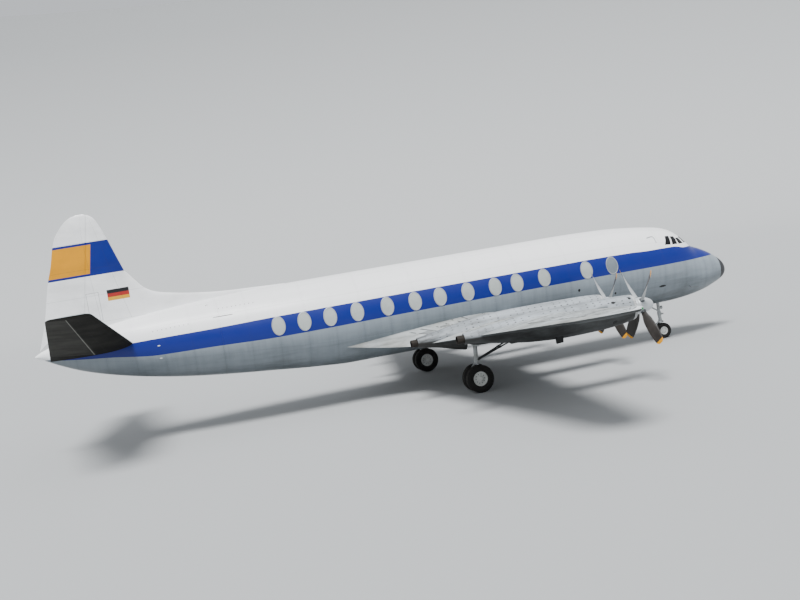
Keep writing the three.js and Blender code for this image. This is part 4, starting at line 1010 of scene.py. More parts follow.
def hinged_body(foil, inner, outer, weights):
    """Moving surface: aerofoil behind the hinge line and a round nose about it, whose radius goes from
    0.97 of the local half thickness ahead to the whole of it above and below."""
    u, bow = FRONT[1:], NOSE_ARC
    count = len(u)
    flat = np.concatenate([u[::-1], 0 * bow, 0 * bow[1:], u[:-1]])
    arc = np.concatenate([0 * u, bow, -bow[::-1][1:], 0 * u[:-1]])
    in_arc = np.repeat([False, True, False], [count, 2 * len(bow) - 1, count - 1])
    sign = np.repeat([1.0, -1.0], [count + len(bow), len(bow) + count - 2])
    hinge0 = foil.hinge(np.array(0.5 * (outer if callable(inner) else inner) + 0.5 * outer))
    t_guess = np.where(in_arc, hinge0, hinge0 + (1 - hinge0) * flat)
    spans = rows_between(foil, inner, outer, weights, t_guess)
    hinge, chord, thick = np.maximum(foil.hinge(spans), 0.03), foil.chord(spans), foil.thick(spans)
    radius = camber_free(hinge) * thick * (0.97 + 0.03 * np.sin(arc) ** 2)
    t_ring = np.where(in_arc, hinge - radius * np.cos(arc) / chord, hinge + (1 - hinge) * flat)
    h_ring = np.where(in_arc, radius * np.sin(arc) / thick, sign * camber_free(np.clip(t_ring, 0, 1)))
    marks = {"share": t_ring, "under": (h_ring < 0) * 1.0, "aft": t_ring - hinge}
    nose = count + len(bow) - 1
    return loft(foil.point(spans, t_ring, h_ring), marks, nose=(nose, nose))


EVEN = np.linspace(0, 1, 9)
FLAP_FRONT = 0.74
FLAPS = {"inner": (2.16, 3.18), "middle": (4.09, 7.34), "outer": (7.87, 9.48)}
AILERON = (9.56, 13.10)
# Between the root and these places the wing is whole, cut for the flaps, coved for the aileron, whole
WING_CUTS = (2.155, 9.55, 13.11)
FLAP_GAPS = ((3.184, 4.086), (7.344, 7.866), (9.484, 9.55))


def add_wing(name, side):
    foil = wing_foil(side)
    inner, coved, tip = WING_CUTS
    shells = [foil_body(foil, *shared_out(0.2 + (inner - 0.2) * np.linspace(0, 1, 30))),
              foil_body(foil, inner, coved, EVEN, 0.0, FLAP_FRONT)]
    shells += [foil_body(foil, start, stop, EVEN, FLAP_FRONT, 1.0) for start, stop in FLAP_GAPS]
    shells.append(coved_body(foil, coved, tip, EVEN, 0.010))
    places = np.concatenate([[tip, tip + 0.035], slowing(tip + 0.07, HALF_SPAN - 0.0005, 26)])
    shells.append(foil_body(foil, *shared_out(places)))
    cap = [(0, 0.07), (0.052, 0.07), (0.06, 0.064)]
    shells.append(turned((NOSE_X - 10.9, side * 4.7, 1.90), (0, 0, -1), cap))
    piece(f"wing_skin_{name}", shells, wing_paint, replaces=[f"wing_{name}"])
    for flap, (start, stop) in FLAPS.items():
        shell = foil_body(foil, start, stop, EVEN, FLAP_FRONT + 0.0012, 1.0)
        node = f"flap_{flap}_{name}"
        piece(f"{node}_skin", shell, wing_paint, replaces=[node])
    node = f"aileron_{name}"
    piece(f"{node}_skin", hinged_body(foil, *AILERON, EVEN), wing_paint, node, [node])


ELEVATOR = {"from": 0.64, "to": 5.88, "gap": 0.012, "diagonal": (24.28, 25.80), "aft": 1.0}


def elevator_inner(extra):
    """Inner end of the elevator by station: straight by the hinge, then slanted outwards to the rear."""
    start, stop = ELEVATOR["diagonal"]
    ends = ELEVATOR["from"], ELEVATOR["aft"]
    return lambda station: lerp(*ends, np.clip((station - start) / (stop - start), 0, 1)) + extra


def add_tail(name, side):
    foil = tail_foil(side)
    gap, fine = ELEVATOR["gap"], np.linspace(0, 1, 25)
    inner, outer = ELEVATOR["from"] - gap, ELEVATOR["to"] + gap
    tip = slowing(outer, TAIL["span"], 14)
    shells = [foil_body(foil, 0.15, elevator_inner(-gap), EVEN), coved_body(foil, inner, outer, fine, gap),
              foil_body(foil, *shared_out(tip))]
    piece(f"tailplane_{name}_skin", shells, tail_paint, replaces=[f"tailplane_{name}"])
    moving = hinged_body(foil, elevator_inner(0.0), ELEVATOR["to"], fine)
    node = f"elevator_{name}"
    piece(f"{node}_skin", moving, elevator_paint, node, [node])


DORSAL = MM * np.array([
    # station, top, half width at its foot
    [17300, 4640, 20], [18200, 4680, 45], [19500, 4745, 70], [20500, 4860, 85], [21300, 5000, 95],
    [21800, 5130, 105], [22150, 5340, 115], [22400, 5640, 120], [22620, 5930, 120], [22900, 6200, 120]])


def dorsal_shell():
    """Fillet ahead of the fin: sections |y / half|^2.2 + (height share)^3.5 = 1 along the station."""
    station = np.concatenate([np.linspace(17.3, 21.6, 22), np.linspace(21.7, 22.9, 26)])[:, None]
    top, half = np.moveaxis(read(DORSAL, station), -1, 0)
    angle = np.linspace(0, pi, 25)[None, :]
    y = half * np.sign(np.cos(angle)) * abs(np.cos(angle)) ** (2 / 2.2)
    z = lerp(4.0, top, np.clip(np.sin(angle), 0, None) ** (2 / 3.5))
    return loft(spot(station, y, z), {"share": 0.5})


def add_fin():
    foil = fin_foil()
    heights = np.concatenate([np.linspace(3.5, 7.4, 22), slowing(7.4, FIN_TOP, 24)[1:]])
    shells = [coved_body(foil, *shared_out(heights), 0.012), dorsal_shell()]
    piece("fin_skin", shells, fin_paint, replaces=["fin"])
    foot = lambda station: sum(body_size(station)[:2]) + 0.04
    moving = hinged_body(foil, foot, RUDDER_TOP, 1 - (1 - np.linspace(0, 1, 48)) ** 1.8)
    piece("rudder_skin", moving, fin_paint, "rudder", ["rudder"])


# Engines

NACELLES = {
    "inner": MM * np.array([
        # station, top, bottom, half width
        [6950, 2480, 1740, 370], [7060, 2510, 1705, 400], [7400, 2540, 1640, 440], [8200, 2565, 1520, 485],
        [9200, 2580, 1430, 515], [10300, 2580, 1395, 525], [11500, 2540, 1410, 520],
        [12300, 2420, 1560, 440], [13050, 2290, 1760, 310], [13650, 2200, 1860, 185]]),
    "outer": MM * np.array([
        [7670, 2705, 1965, 370], [7780, 2725, 1935, 400], [8100, 2745, 1880, 430], [8800, 2760, 1815, 465],
        [9900, 2765, 1795, 475], [11000, 2735, 1860, 440], [12000, 2645, 2010, 330],
        [12700, 2560, 2130, 240], [13150, 2510, 2180, 180]]),
}
ENGINES = {"inner": {"y": 3.63, "hub": 6.70, "z": 2.11}, "outer": {"y": 7.60, "hub": 7.42, "z": 2.335}}
MAIN_BAY = {"front": 9.50, "back": 12.05, "half": 0.40, "top": 1.745, "door_end": 10.42}
COWL_COLUMNS = 64
INTAKE_R, LIP_R = 0.335, 0.37


def cowl_point(table, y, station, turn, lift=0.0):
    """Point of a nacelle's ellipse at an angle from its top, both half sizes grown by a lift."""
    middle, high, half = ellipse(table, station)
    return spot(station, y + (half + lift) * np.sin(turn), middle + (high + lift) * np.cos(turn))


def nacelle_shell(table, y, hub_z, with_bay):
    """Nacelle: intake duct, round lip of half the lip's width, then ellipses read from its table, and a
    bevelled rear face about the jet pipe. Rows hold station, half width, half height and middle."""
    front, rear = table[0, 0], table[-1, 0]
    edge = (LIP_R - INTAKE_R) / 2
    duct = [(front + 0.26, INTAKE_R), (front + 0.14, INTAKE_R)]
    curl = [(front + edge - edge * np.cos(a), (LIP_R + INTAKE_R) / 2 + edge * np.sin(a))
            for a in np.linspace(-pi / 2, pi / 2, 9)]
    mouth = np.array([(s, r, r, hub_z) for s, r in duct + curl])
    stations = spread(front + 0.05, rear, 90, (MAIN_BAY["front"], MAIN_BAY["back"]) if with_bay else ())
    skin = np.column_stack([stations, *ellipse(table, stations)[::-1]])
    _, wide, high, tail_z = skin[-1]
    end = [(rear + 0.012, wide - 0.012, high - 0.012, tail_z), (rear + 0.012, 0.145, 0.145, tail_z),
           (rear - 0.05, 0.14, 0.14, tail_z)]
    station, wide, high, middle = np.concatenate([mouth, skin, end]).T[:, :, None]
    turn = bay_turns(wide, MAIN_BAY["half"], 0.9, COWL_COLUMNS)
    points = spot(station, y + wide * np.sin(turn), middle + high * np.cos(turn))
    pocket = None
    if with_bay:
        first, last = (row + len(mouth) for row in bay_rows(stations, MAIN_BAY))
        pocket = (first, last, BAY_COLUMNS, MAIN_BAY["top"])
    return loft(points, {"turn": from_top(turn), "back": station - front + 0 * turn}, pocket=pocket)


def jet_pipe_shell(table, y):
    """Jet pipe: a tube with rounded end, closed on itself."""
    profile = np.array([(-0.1, 0.1247), (0.2, 0.1247), (0.224, 0.122), (0.23, 0.117), (0.224, 0.112),
                        (0.2, 0.110), (-0.1, 0.109)])
    behind, r = profile.T[:, :, None]
    rear, z = table[-1, 0], (table[-1, 1] + table[-1, 2]) / 2
    rings = spot(rear + behind, y + r * np.cos(circle(48)), z + r * np.sin(circle(48)))
    return loft(rings, {"soot": np.array([0, 0, 0, 0, 0.6, 1, 1])[:, None]}, loop=True)


BLADE = np.array([
    # share of the radius, chord, thickness, pitch in degrees
    [0.13, 0.130, 0.118, 62], [0.24, 0.178, 0.080, 57], [0.42, 0.296, 0.050, 46], [0.70, 0.342, 0.028, 33],
    [0.92, 0.300, 0.017, 26.5], [1.0, 0.190, 0.009, 24.5]])
PROP_R = 1.525
BLADE_TURNS = [radians(45 + 90 * number) for number in range(4)]
# Round parts by distance along their axis and radius
SPINNER_BACK = [(-0.205, 0.02), (-0.205, 0.243), (-0.2, 0.25), (-0.192, 0.253), (-0.125, 0.2545),
                (-0.12, 0.2525), (-0.113, 0.2525), (-0.108, 0.2548)]
CUFF = [(0.15, 0.09), (0.247, 0.09), (0.258, 0.086), (0.262, 0.078), (0.275, 0.066), (0.3, 0.06)]
GEAR_CASING = [(0, 0.19), (0.02, 0.215), (0.06, 0.215), (0.14, 0.19), (0.2, 0.17), (0.23, 0.12),
               (0.26, 0.08)]


def blade_shell(number):
    """Blade: aerofoil sections with 0.62 of their thickness in front, turned to their pitch and stacked
    along the radius, the upper one moving to port; the last ones shrink to a rounded tip."""
    share = np.concatenate([np.linspace(0.13, 0.955, 34), slowing(0.955, 0.9995, 9)[1:]])[:, None]
    chord, thick, pitch = (read(BLADE, share[:, 0])[:, k:k + 1] for k in range(3))
    fade = np.sqrt(np.maximum(1 - np.clip((share - 0.955) / 0.0447, 0, 1) ** 2, 0.01))
    chord, thick = chord * lerp(0.55, 1, fade), thick * lerp(0.4, 1, fade)
    ring = np.linspace(0, 2 * pi, 33)[:-1]
    t = 0.5 * (1 + np.cos(ring))
    h = np.where(ring <= pi, 0.62, -0.38) * 2 * camber_free(t) * thick
    across, turn = (t - 0.42) * chord, np.radians(pitch)
    x = -across * np.sin(turn) + h * np.cos(turn)
    y = -across * np.cos(turn) - h * np.sin(turn)
    z = share * PROP_R + 0 * t
    angle = BLADE_TURNS[number]
    points = np.stack([x, y * np.cos(angle) - z * np.sin(angle), y * np.sin(angle) + z * np.cos(angle)], -1)
    return loft(points, {"reach": share, "share": t, "front": (h > 0) * 1.0})


def add_propeller(name, hub):
    node, body = f"propeller_{name}", f"prop_{name}"
    blades = [moved(blade_shell(number), lambda points: points + hub) for number in range(4)]
    along = np.linspace(0, pi / 2, 26)
    nose = np.column_stack([-0.06 + 0.485 * np.sin(along), 0.255 * np.cos(along) ** 0.9 + 0.0006])
    spinner = turned(hub, (1, 0, 0), SPINNER_BACK + nose.tolist(), 64)
    cuffs = [turned(hub, (0, -np.sin(angle), np.cos(angle)), CUFF) for angle in BLADE_TURNS]
    piece(f"{node}_blades", blades, blades_paint, body, [node])
    piece(f"{node}_spinner", spinner, spun_alloy, body)
    piece(f"{node}_cuffs", cuffs, steel, body)


def intake_vane(centre, angle):
    way = np.array((0, np.cos(angle), np.sin(angle)))
    across = np.cross(way, (1, 0, 0))
    section = [(a, 0, 0) + across * b for a, b in
               ((0.022, 0), (0.008, 0.006), (-0.022, 0.002), (-0.022, -0.002), (0.008, -0.006))]
    return loft([[centre + way * r + corner for corner in section] for r in (0.19, 0.26, 0.3352)])


def add_engine(side_name, side, which):
    name = f"{side_name}_{which}"
    engine, table = ENGINES[which], NACELLES[which]
    y, z = side * engine["y"], engine["z"]
    front, rear = table[0, 0], table[-1, 0]
    cowling = nacelle_shell(table, y, z, which == "inner")
    vanes = [intake_vane(np.array((NOSE_X - front - 0.235, y, z)), angle) for angle in circle(18)]
    casing = turned((NOSE_X - front - 0.25, y, z), (1, 0, 0), GEAR_CASING, 40)
    wall = [(0, 0.02), (0, 0.1085), (0.004, 0.1085), (0.004, 0.03)]
    bulkhead = turned((NOSE_X - rear + 0.06, y, (table[-1, 1] + table[-1, 2]) / 2), (-1, 0, 0), wall, 40)
    piece(f"nacelle_{name}_skin", cowling, cowl_paint, replaces=[f"nacelle_{name}"])
    piece(f"jet_pipe_{name}_tube", jet_pipe_shell(table, y), pipe_steel,
          replaces=[f"jet_pipe_{name}"])
    piece(f"intake_vanes_{name}", vanes, frame_alloy)
    piece(f"gear_casing_{name}", casing, casting)
    piece(f"cooler_scoop_{name}", scoop_shell(front + 1.0, y, table, side), cowl_paint)
    piece(f"exhaust_bulkhead_{name}", bulkhead, casting)
    add_propeller(name, (NOSE_X - engine["hub"], y, z))


def scoop_shell(start, y, table, side):
    """Small cooling scoop on the cowling's shoulder: half-round hood that rises forward and fades
    into the skin behind: height = 0.055 cos(a)^0.8 sqrt(1 - across^2) - 0.01."""
    along = np.linspace(0, 1, 14)[:, None]
    around = np.linspace(-1, 1, 13)[None, :]
    station = start + along * 0.42
    fall = np.cos(along * pi / 2)
    turn = side * 0.95 + around * 0.16 * fall ** 0.5
    lift = 0.055 * fall ** 0.8 * np.sqrt(np.clip(1 - around ** 2, 0, 1)) - 0.01
    outer = cowl_point(table, y, station, turn, lift)
    inner = cowl_point(table, y, station, turn, np.minimum(lift - 0.012, -0.012))
    inner[..., 0] -= 0.02 * (1 - along)
    shell = sheet(outer, inner)
    return Shell(shell.points, shell.faces, {"back": np.full(len(shell.points), 0.8)})


# Wheels and landing gear

# Station and distance to port of a leg, radius and width of its tyres, which stand an offset to each
# side, and the cross tubes that carry the leg and its drag struts: station, height
MAIN = {"station": 11.77, "y": 3.63, "r": 0.475, "width": 0.25, "offset": 0.215,
        "trunnion": (11.70, 1.64), "strut": (10.02, 1.692)}
NOSE = {"station": 3.03, "r": 0.300, "width": 0.175, "offset": 0.15,
        "trunnion": (3.03, 1.64), "strut": (3.95, 1.70)}
# Knee of the torque links (distance behind the leg, distance from its middle, height, half width), and
# their roots on the leg (behind, beside, height, half width, thickness)
MAIN_KNEE, NOSE_KNEE = (0.30, 0.034, 0.70, 0.014), (0.19, 0.022, 0.56, 0.011)
MAIN_LINKS = ((0.045, 0.045, 0.985, 0.022, 0.03), (0.05, 0.045, 0.505, 0.02, 0.028))
NOSE_LINKS = ((0.05, 0.028, 0.70, 0.016, 0.02), (0.045, 0.026, 0.335, 0.016, 0.02))
RIM_SHARE = 0.52
# Rods by share of the way and radius: legs from above, the cross tube from side to side, struts from
# the leg
MAIN_LEG = [(0, 0.06), (0.01, 0.074), (0.12, 0.076), (0.125, 0.084), (0.16, 0.084), (0.165, 0.074),
            (0.8, 0.074), (0.805, 0.088), (0.9, 0.091), (0.905, 0.08), (0.97, 0.08), (1, 0.07)]
MAIN_TRUNNION = [(0, 0.05), (0.01, 0.06), (0.1, 0.06), (0.12, 0.048), (0.36, 0.05), (0.4, 0.066),
                 (0.6, 0.066), (0.64, 0.05), (0.88, 0.048), (0.9, 0.06), (0.99, 0.06), (1, 0.05)]
MAIN_STRUT = [(0, 0.036), (0.05, 0.04), (0.07, 0.028), (0.48, 0.028), (0.49, 0.036), (0.53, 0.036),
              (0.54, 0.026), (0.94, 0.026), (0.95, 0.038), (1, 0.038)]
NOSE_LEG = [(0, 0.05), (0.01, 0.062), (0.16, 0.066), (0.3, 0.062), (0.7, 0.062), (0.71, 0.078),
            (0.8, 0.084), (0.86, 0.084), (0.87, 0.066), (0.99, 0.066), (1, 0.06)]
NOSE_STRUT = [(0, 0.02), (0.04, 0.028), (0.07, 0.02), (0.93, 0.019), (0.95, 0.026), (1, 0.026)]
# Brake hose below its upper end: distance ahead of the leg, beside it, and height
HOSE_WAY = ((0.075, 0.055, 1.25), (0.085, 0.05, 0.99), (0.15, 0.06, 0.78), (0.105, 0.052, 0.60),
            (0.06, 0.05, 0.50))


def tyre_shell(x, y, z, r, width):
    """Tyre: a closed section swept about the axle. Crown over 0.62 of the width with four grooves,
    walls that bulge by a sine, beads on the rim."""
    rim, half = r * RIM_SHARE, width / 2
    g, deep = 0.004 * r / 0.3 / half, 0.022 * r
    crown = [(-0.62, 0.0)]
    for place in np.linspace(-0.52, 0.52, 5)[:4] + 0.13:
        crown += [(place - g, 0.0), (place - g * 0.8, deep), (place + g * 0.8, deep), (place + g, 0.0)]
    crown += [(0.62, 0.0)]
    tread = [(r - drop - 0.012 * r * abs(u) ** 3, u * half) for u, drop in crown]
    bulge = np.linspace(0, 1, 14)[1:]
    wall_w = half * (0.70 + 0.30 * np.sin(np.clip((1 - abs(bulge * 2 - 1.02)) * pi / 2, 0, pi / 2)))
    wall_w[0] = half * 0.80
    right = list(zip(lerp(r * 0.985, rim, bulge), wall_w))
    left = [(radius, -wide) for radius, wide in right[::-1]]
    radius, wide = np.array(left + tread + right).T[:, :, None]
    rings = np.stack(np.broadcast_arrays(x + radius * np.cos(circle(72)), y + wide,
                                         z + radius * np.sin(circle(72))), -1)
    on_tread = np.repeat([0.0, 1.0, 0.0], [len(left), len(tread), len(right)])[:, None]
    return loft(rings, {"tread": on_tread}, loop=True)


def wheel_shell(x, y, z, r, width, side):
    """Wheel half: flange, dished web with a raised boss, and a brake drum behind; the profile's numbers
    are shares of a third of the width and of the rim's radius."""
    profile = np.array([
        (-1, 0.62), (-1.02, 0.97), (-0.95, 1.045), (-0.86, 1.0), (0.86, 1.0), (0.95, 1.045), (1.02, 1.03),
        (1.03, 0.93), (0.55, 0.84), (0.30, 0.74), (0.34, 0.5), (0.62, 0.38), (0.70, 0.33), (1.12, 0.30),
        (1.2, 0.26), (1.2, 0.02)])
    return turned((x, y, z), (0, side, 0), profile * (width * 0.33, r * RIM_SHARE), 56)


def wheel_bolts(x, y, z, r, width, side):
    """Hexagon nuts on a circle of 0.62 of the rim."""
    ring, scale = r * RIM_SHARE * 0.62, r / 0.475
    nut = [(0, 0.016 * scale), (0.014, 0.016 * scale), (0.018, 0.012 * scale)]
    foot = y + side * width * 0.099
    return [turned((x + ring * np.cos(a), foot, z + ring * np.sin(a)), (0, side, 0), nut, 6)
            for a in circle(10)]


def add_wheels(prefix, body, gear, y):
    x, r, width, offset = NOSE_X - gear["station"], gear["r"], gear["width"], gear["offset"]
    wheels, nuts, drums = [], [], []
    for port, side in (("port", 1), ("starboard", -1)):
        at = y + side * offset
        piece(f"{prefix}_tyre_{port}_rubber", tyre_shell(x, at, r, r, width), rubber, body,
              [f"{prefix}_tyre_{port}"], sharp=40)
        wheels.append(wheel_shell(x, at, r, r, width, side))
        nuts += wheel_bolts(x, at, r, r, width, side)
        drum = [(-0.03, r * 0.12), (-0.028, r * 0.30), (0.0, r * 0.315), (0.02, r * 0.315)]
        drums.append(turned((x, at - side * (width * 0.33 + 0.001), r), (0, side, 0), drum, 40))
    axle = turned((x, y - offset, r), (0, 1, 0), [(0, r * 0.088), (2 * offset, r * 0.088)], 28)
    piece(f"{prefix}_wheel_hubs", wheels, hub_alloy, body, [f"{prefix}_wheels"])
    piece(f"{prefix}_wheel_nuts", nuts, steel, body)
    piece(f"{prefix}_axle_and_drums", drums + [axle], steel, body)


def link_arm(root, knee, wide_root, wide_knee, thick):
    """Forged arm: a plate that narrows from its root to the knee, across the aircraft."""
    outline = [np.array(place) + (0, across, 0) for place, across in
               ((root, -wide_root), (root, wide_root), (knee, wide_knee), (knee, -wide_knee))]
    way = Vector(knee) - Vector(root)
    return plate(outline, way.cross(Vector((0, 1, 0))), thick, 0.006)


def torque_arms(x, y, out, knee, arms):
    """Upper and lower torque link on one side of a leg, from their roots to the knee."""
    behind, beside, z, narrow = knee
    tip = (x - behind, y + out * beside, z)
    return [link_arm((x - back, y + out * off, height), tip, wide, narrow, thick)
            for back, off, height, wide, thick in arms]


def add_main_leg(name, side):
    x, y, axle, reach = NOSE_X - MAIN["station"], side * MAIN["y"], MAIN["r"], MAIN_BAY["half"] - 0.0003
    (top_x, top_z), (strut_x, strut_z) = ((NOSE_X - s, z) for s, z in (MAIN["trunnion"], MAIN["strut"]))
    slope = lambda z: (lerp(x, top_x, (z - axle) / (top_z - axle)), y, z)
    painted = [rod(slope(1.70), slope(0.96), MAIN_LEG, 40),
               rod(*crosswise(top_x, y, top_z, reach), MAIN_TRUNNION, 32)]
    struts = [pin(*crosswise(strut_x, y, strut_z, reach), 0.034, 0.027)]
    pipes = []
    for out in (-1, 1):
        struts.append(rod((x + 0.04, y + out * 0.04, 1.08), (strut_x, y + out * 0.235, strut_z), MAIN_STRUT))
        painted += torque_arms(x, y, out, MAIN_KNEE, MAIN_LINKS)
        pipes.append(tube([(top_x + 0.05, y + out * 0.07, 1.60)]
                          + [(x + ahead, y + out * beside, z) for ahead, beside, z in HOSE_WAY], 0.009))
    lug = [(0, 0.035), (0.05, 0.05), (0.95, 0.05), (1, 0.04)]
    painted += [pin(*crosswise(x - MAIN_KNEE[0], y, MAIN_KNEE[2], 0.055), 0.024, 0.02, 0.02),
                pin(*crosswise(x, y, axle, 0.062), 0.088, 0.08, 0.05, 40),
                rod((x - 0.02, y, 1.08), (x + 0.09, y, 1.08), lug)]
    piston = pin(slope(0.975), slope(0.50), 0.054, 0.05, 0.02, 40)
    piece(f"main_leg_{name}_casing", painted, leg_paint, replaces=[f"main_leg_{name}"])
    piece(f"main_leg_{name}_struts", struts, strut_paint)
    piece(f"main_leg_{name}_piston", piston, chrome)
    piece(f"main_leg_{name}_hoses", pipes, hose)


def shut_door(sizes, y, out, front, back, half, thick):
    """Shut half of a pair of bay doors, a plate on the skin's own ellipse: z = middle - high
    sqrt(1 - (across / wide)^2), and the same with both half sizes less the plate's thickness."""
    station = np.linspace(front, back, 30)[:, None]
    across = np.linspace(0.0015, half - 0.0015, 16)[None, :]
    middle, high, wide = sizes(station)
    faces = []
    for deep in (0.0, thick):
        hang = np.sqrt(1 - (across / (wide - deep)) ** 2) * (high - deep)
        faces.append(spot(station, y + out * across, middle - hang))
    return sheet(*faces), np.tile((pi - np.arcsin(across / wide)).ravel(), 2)


def add_main_gear(name, side):
    y = side * MAIN["y"]
    add_main_leg(name, side)
    add_wheels(f"main_{name}", f"main_wheels_{name}", MAIN, y)
    cowl = NACELLES["inner"]
    for other, out in SIDES.items():
        node = f"main_door_{name}_{other}"
        shell, turn = shut_door(lambda station: ellipse(cowl, station), y, out, MAIN_BAY["front"] + 0.002,
                                MAIN_BAY["door_end"], MAIN_BAY["half"], 0.022)
        shell.marks.update(turn=turn, back=NOSE_X - shell.points[:, 0] - cowl[0, 0])
        piece(f"{node}_panel", shell, cowl_paint, replaces=[node])


def add_nose_gear():
    x, axle, reach = NOSE_X - NOSE["station"], NOSE["r"], NOSE_BAY["half"] - 0.0003
    (_, top_z), (back, strut_z) = ((NOSE_X - s, z) for s, z in (NOSE["trunnion"], NOSE["strut"]))
    fixed = [rod((x, 0, 1.73), (x, 0, 0.76), NOSE_LEG, 40),
             pin(*crosswise(x, 0, top_z, reach), 0.045, 0.036),
             pin(*crosswise(back, 0, strut_z, reach), 0.029, 0.02)]
    steered = [pin((x, 0, 0.752), (x, 0, 0.69), 0.077, 0.07, 0.05, 36),
               pin(*crosswise(x, 0, axle, 0.048), 0.066, 0.06, 0.06, 36)]
    for out in (-1, 1):
        fixed += [rod((x, out * 0.03, 1.06), (back, out * 0.15, strut_z), NOSE_STRUT),
                  rod((x + 0.02, out * 0.075, 0.95), (x + 0.14, out * 0.075, 0.95),
                      [(0, 0.03), (0.9, 0.03), (1, 0.022)], 20)]
        steered += torque_arms(x, 0, out, NOSE_KNEE, NOSE_LINKS)
    steered.append(pin(*crosswise(x - NOSE_KNEE[0], 0, NOSE_KNEE[2], 0.036), 0.016, 0.013, 0.03, 16))
    lug = [(x + 0.02, 0, 0.605), (x + 0.12, 0, 0.605), (x + 0.12, 0, 0.675), (x + 0.02, 0, 0.675)]
    steered.append(plate(lug, (0, 1, 0), 0.07, 0.004))
    piston = pin((x, 0, 0.80), (x, 0, axle), 0.044, 0.04, 0.02, 36)
    piece("nose_leg_casing", fixed, leg_paint, replaces=["nose_leg"])
    piece("nose_fork_forging", steered, leg_paint, "nose_steering", ["nose_fork"])
    piece("nose_fork_piston", piston, chrome, "nose_steering")
    add_wheels("nose", "nose_wheel_pair", NOSE, 0.0)
    for name, out in SIDES.items():
        node = f"nose_door_{name}"
        shell, turn = shut_door(body_size, 0.0, out, NOSE_BAY["door_start"], NOSE_BAY["back"] - 0.002,
                                NOSE_BAY["half"], 0.016)
        shell.marks.update(body_marks(shell.points, turn))
        piece(f"{node}_panel", shell, enamel, replaces=[node])
    lamp_at, ahead = (x + 0.06, 0, 1.20), (1, 0, -0.12)
    lamp = turned(lamp_at, ahead, [(0, 0.03), (0.03, 0.058), (0.07, 0.068), (0.085, 0.068)])
    lens = turned(lamp_at, ahead, [(0.07, 0.03), (0.08, 0.06), (0.09, 0.045), (0.094, 0.002)])
    piece("taxi_lamp_housing", lamp, leg_paint)
    piece("taxi_lamp_lens", lens, clear_lens)


# Small fittings

# Rows of holes: first and last station, first and last height, count
VENT_ROWS = ((20.9, 22.1, 3.86, 3.80, 9), (18.6, 19.8, 4.20, 4.19, 9), (20.15, 20.2, 4.37, 4.36, 2))
# Outlets low on the body: station, height, half length, half height; on a cowling: station, angle from
# the top, half length, half width
PORTS = ((3.34, 2.13, 0.16, 0.045), (6.83, 2.58, 0.05, 0.06), (5.36, 2.21, 0.04, 0.05))
COWL_VENTS = ((7.86, 0.65, 0.055, 0.06), (8.44, 0.81, 0.07, 0.05), (8.47, 2.24, 0.08, 0.07))
VENT_HOLE = [(0.05, 0.002), (0.8, 0.002), (1.0, -0.001), (1.0, -0.01), (0.05, -0.01)]
SLOT = [(0.05, 0.0015), (0.9, 0.0015), (1.0, -0.002), (0.05, -0.01)]
PORT = [(0.05, 0.002), (0.8, 0.002), (1.0, -0.002), (0.05, -0.02)]


def cowl_vent(table, y, station, turn, long, wide):
    """Oval dark outlet on a cowling: rings of an ellipse on the nacelle's own ellipse, 3 mm proud."""
    profile = [(0.05, 0.003), (0.85, 0.003), (1.0, -0.002), (1.0, -0.02), (0.05, -0.02)]
    share, lift = np.array(profile).T[:, :, None]
    at = station + long * share * np.cos(circle(28))
    around = turn + wide * share * np.sin(circle(28)) / ellipse(table, at)[2]
    return loft(cowl_point(table, y, at, around, lift))


def add_vents():
    on_body, on_cowls = [], []
    for side in (1, -1):
        for first, last, z_first, z_last, count in VENT_ROWS:
            on_body += [badge(lerp(first, last, share), lerp(z_first, z_last, share), side, 0.014, 0.014,
                              VENT_HOLE, 2.0, 12) for share in np.linspace(0, 1, count)]
        on_body.append(badge(19.7, 3.93, side, 0.36, 0.012, SLOT, 4.0, 32))
        on_body += [badge(station, z, side, long, high, PORT, 2.0, 32) for station, z, long, high in PORTS]
        y = side * ENGINES["outer"]["y"]
        on_cowls += [cowl_vent(NACELLES["outer"], y, station, side * turn, long, wide)
                     for station, turn, long, wide in COWL_VENTS]
        drain = [(NOSE_X - 10.28 + ahead, y + side * 0.24, z)
                 for ahead, z in ((-0.12, 1.92), (0.13, 1.92), (0.10, 1.715), (-0.11, 1.70))]
        on_cowls.append(plate(drain, (0, 1, 0), 0.09, 0.008))
    piece("skin_vents", on_body, seal_rubber)
    piece("cowl_vents", on_cowls, seal_rubber)


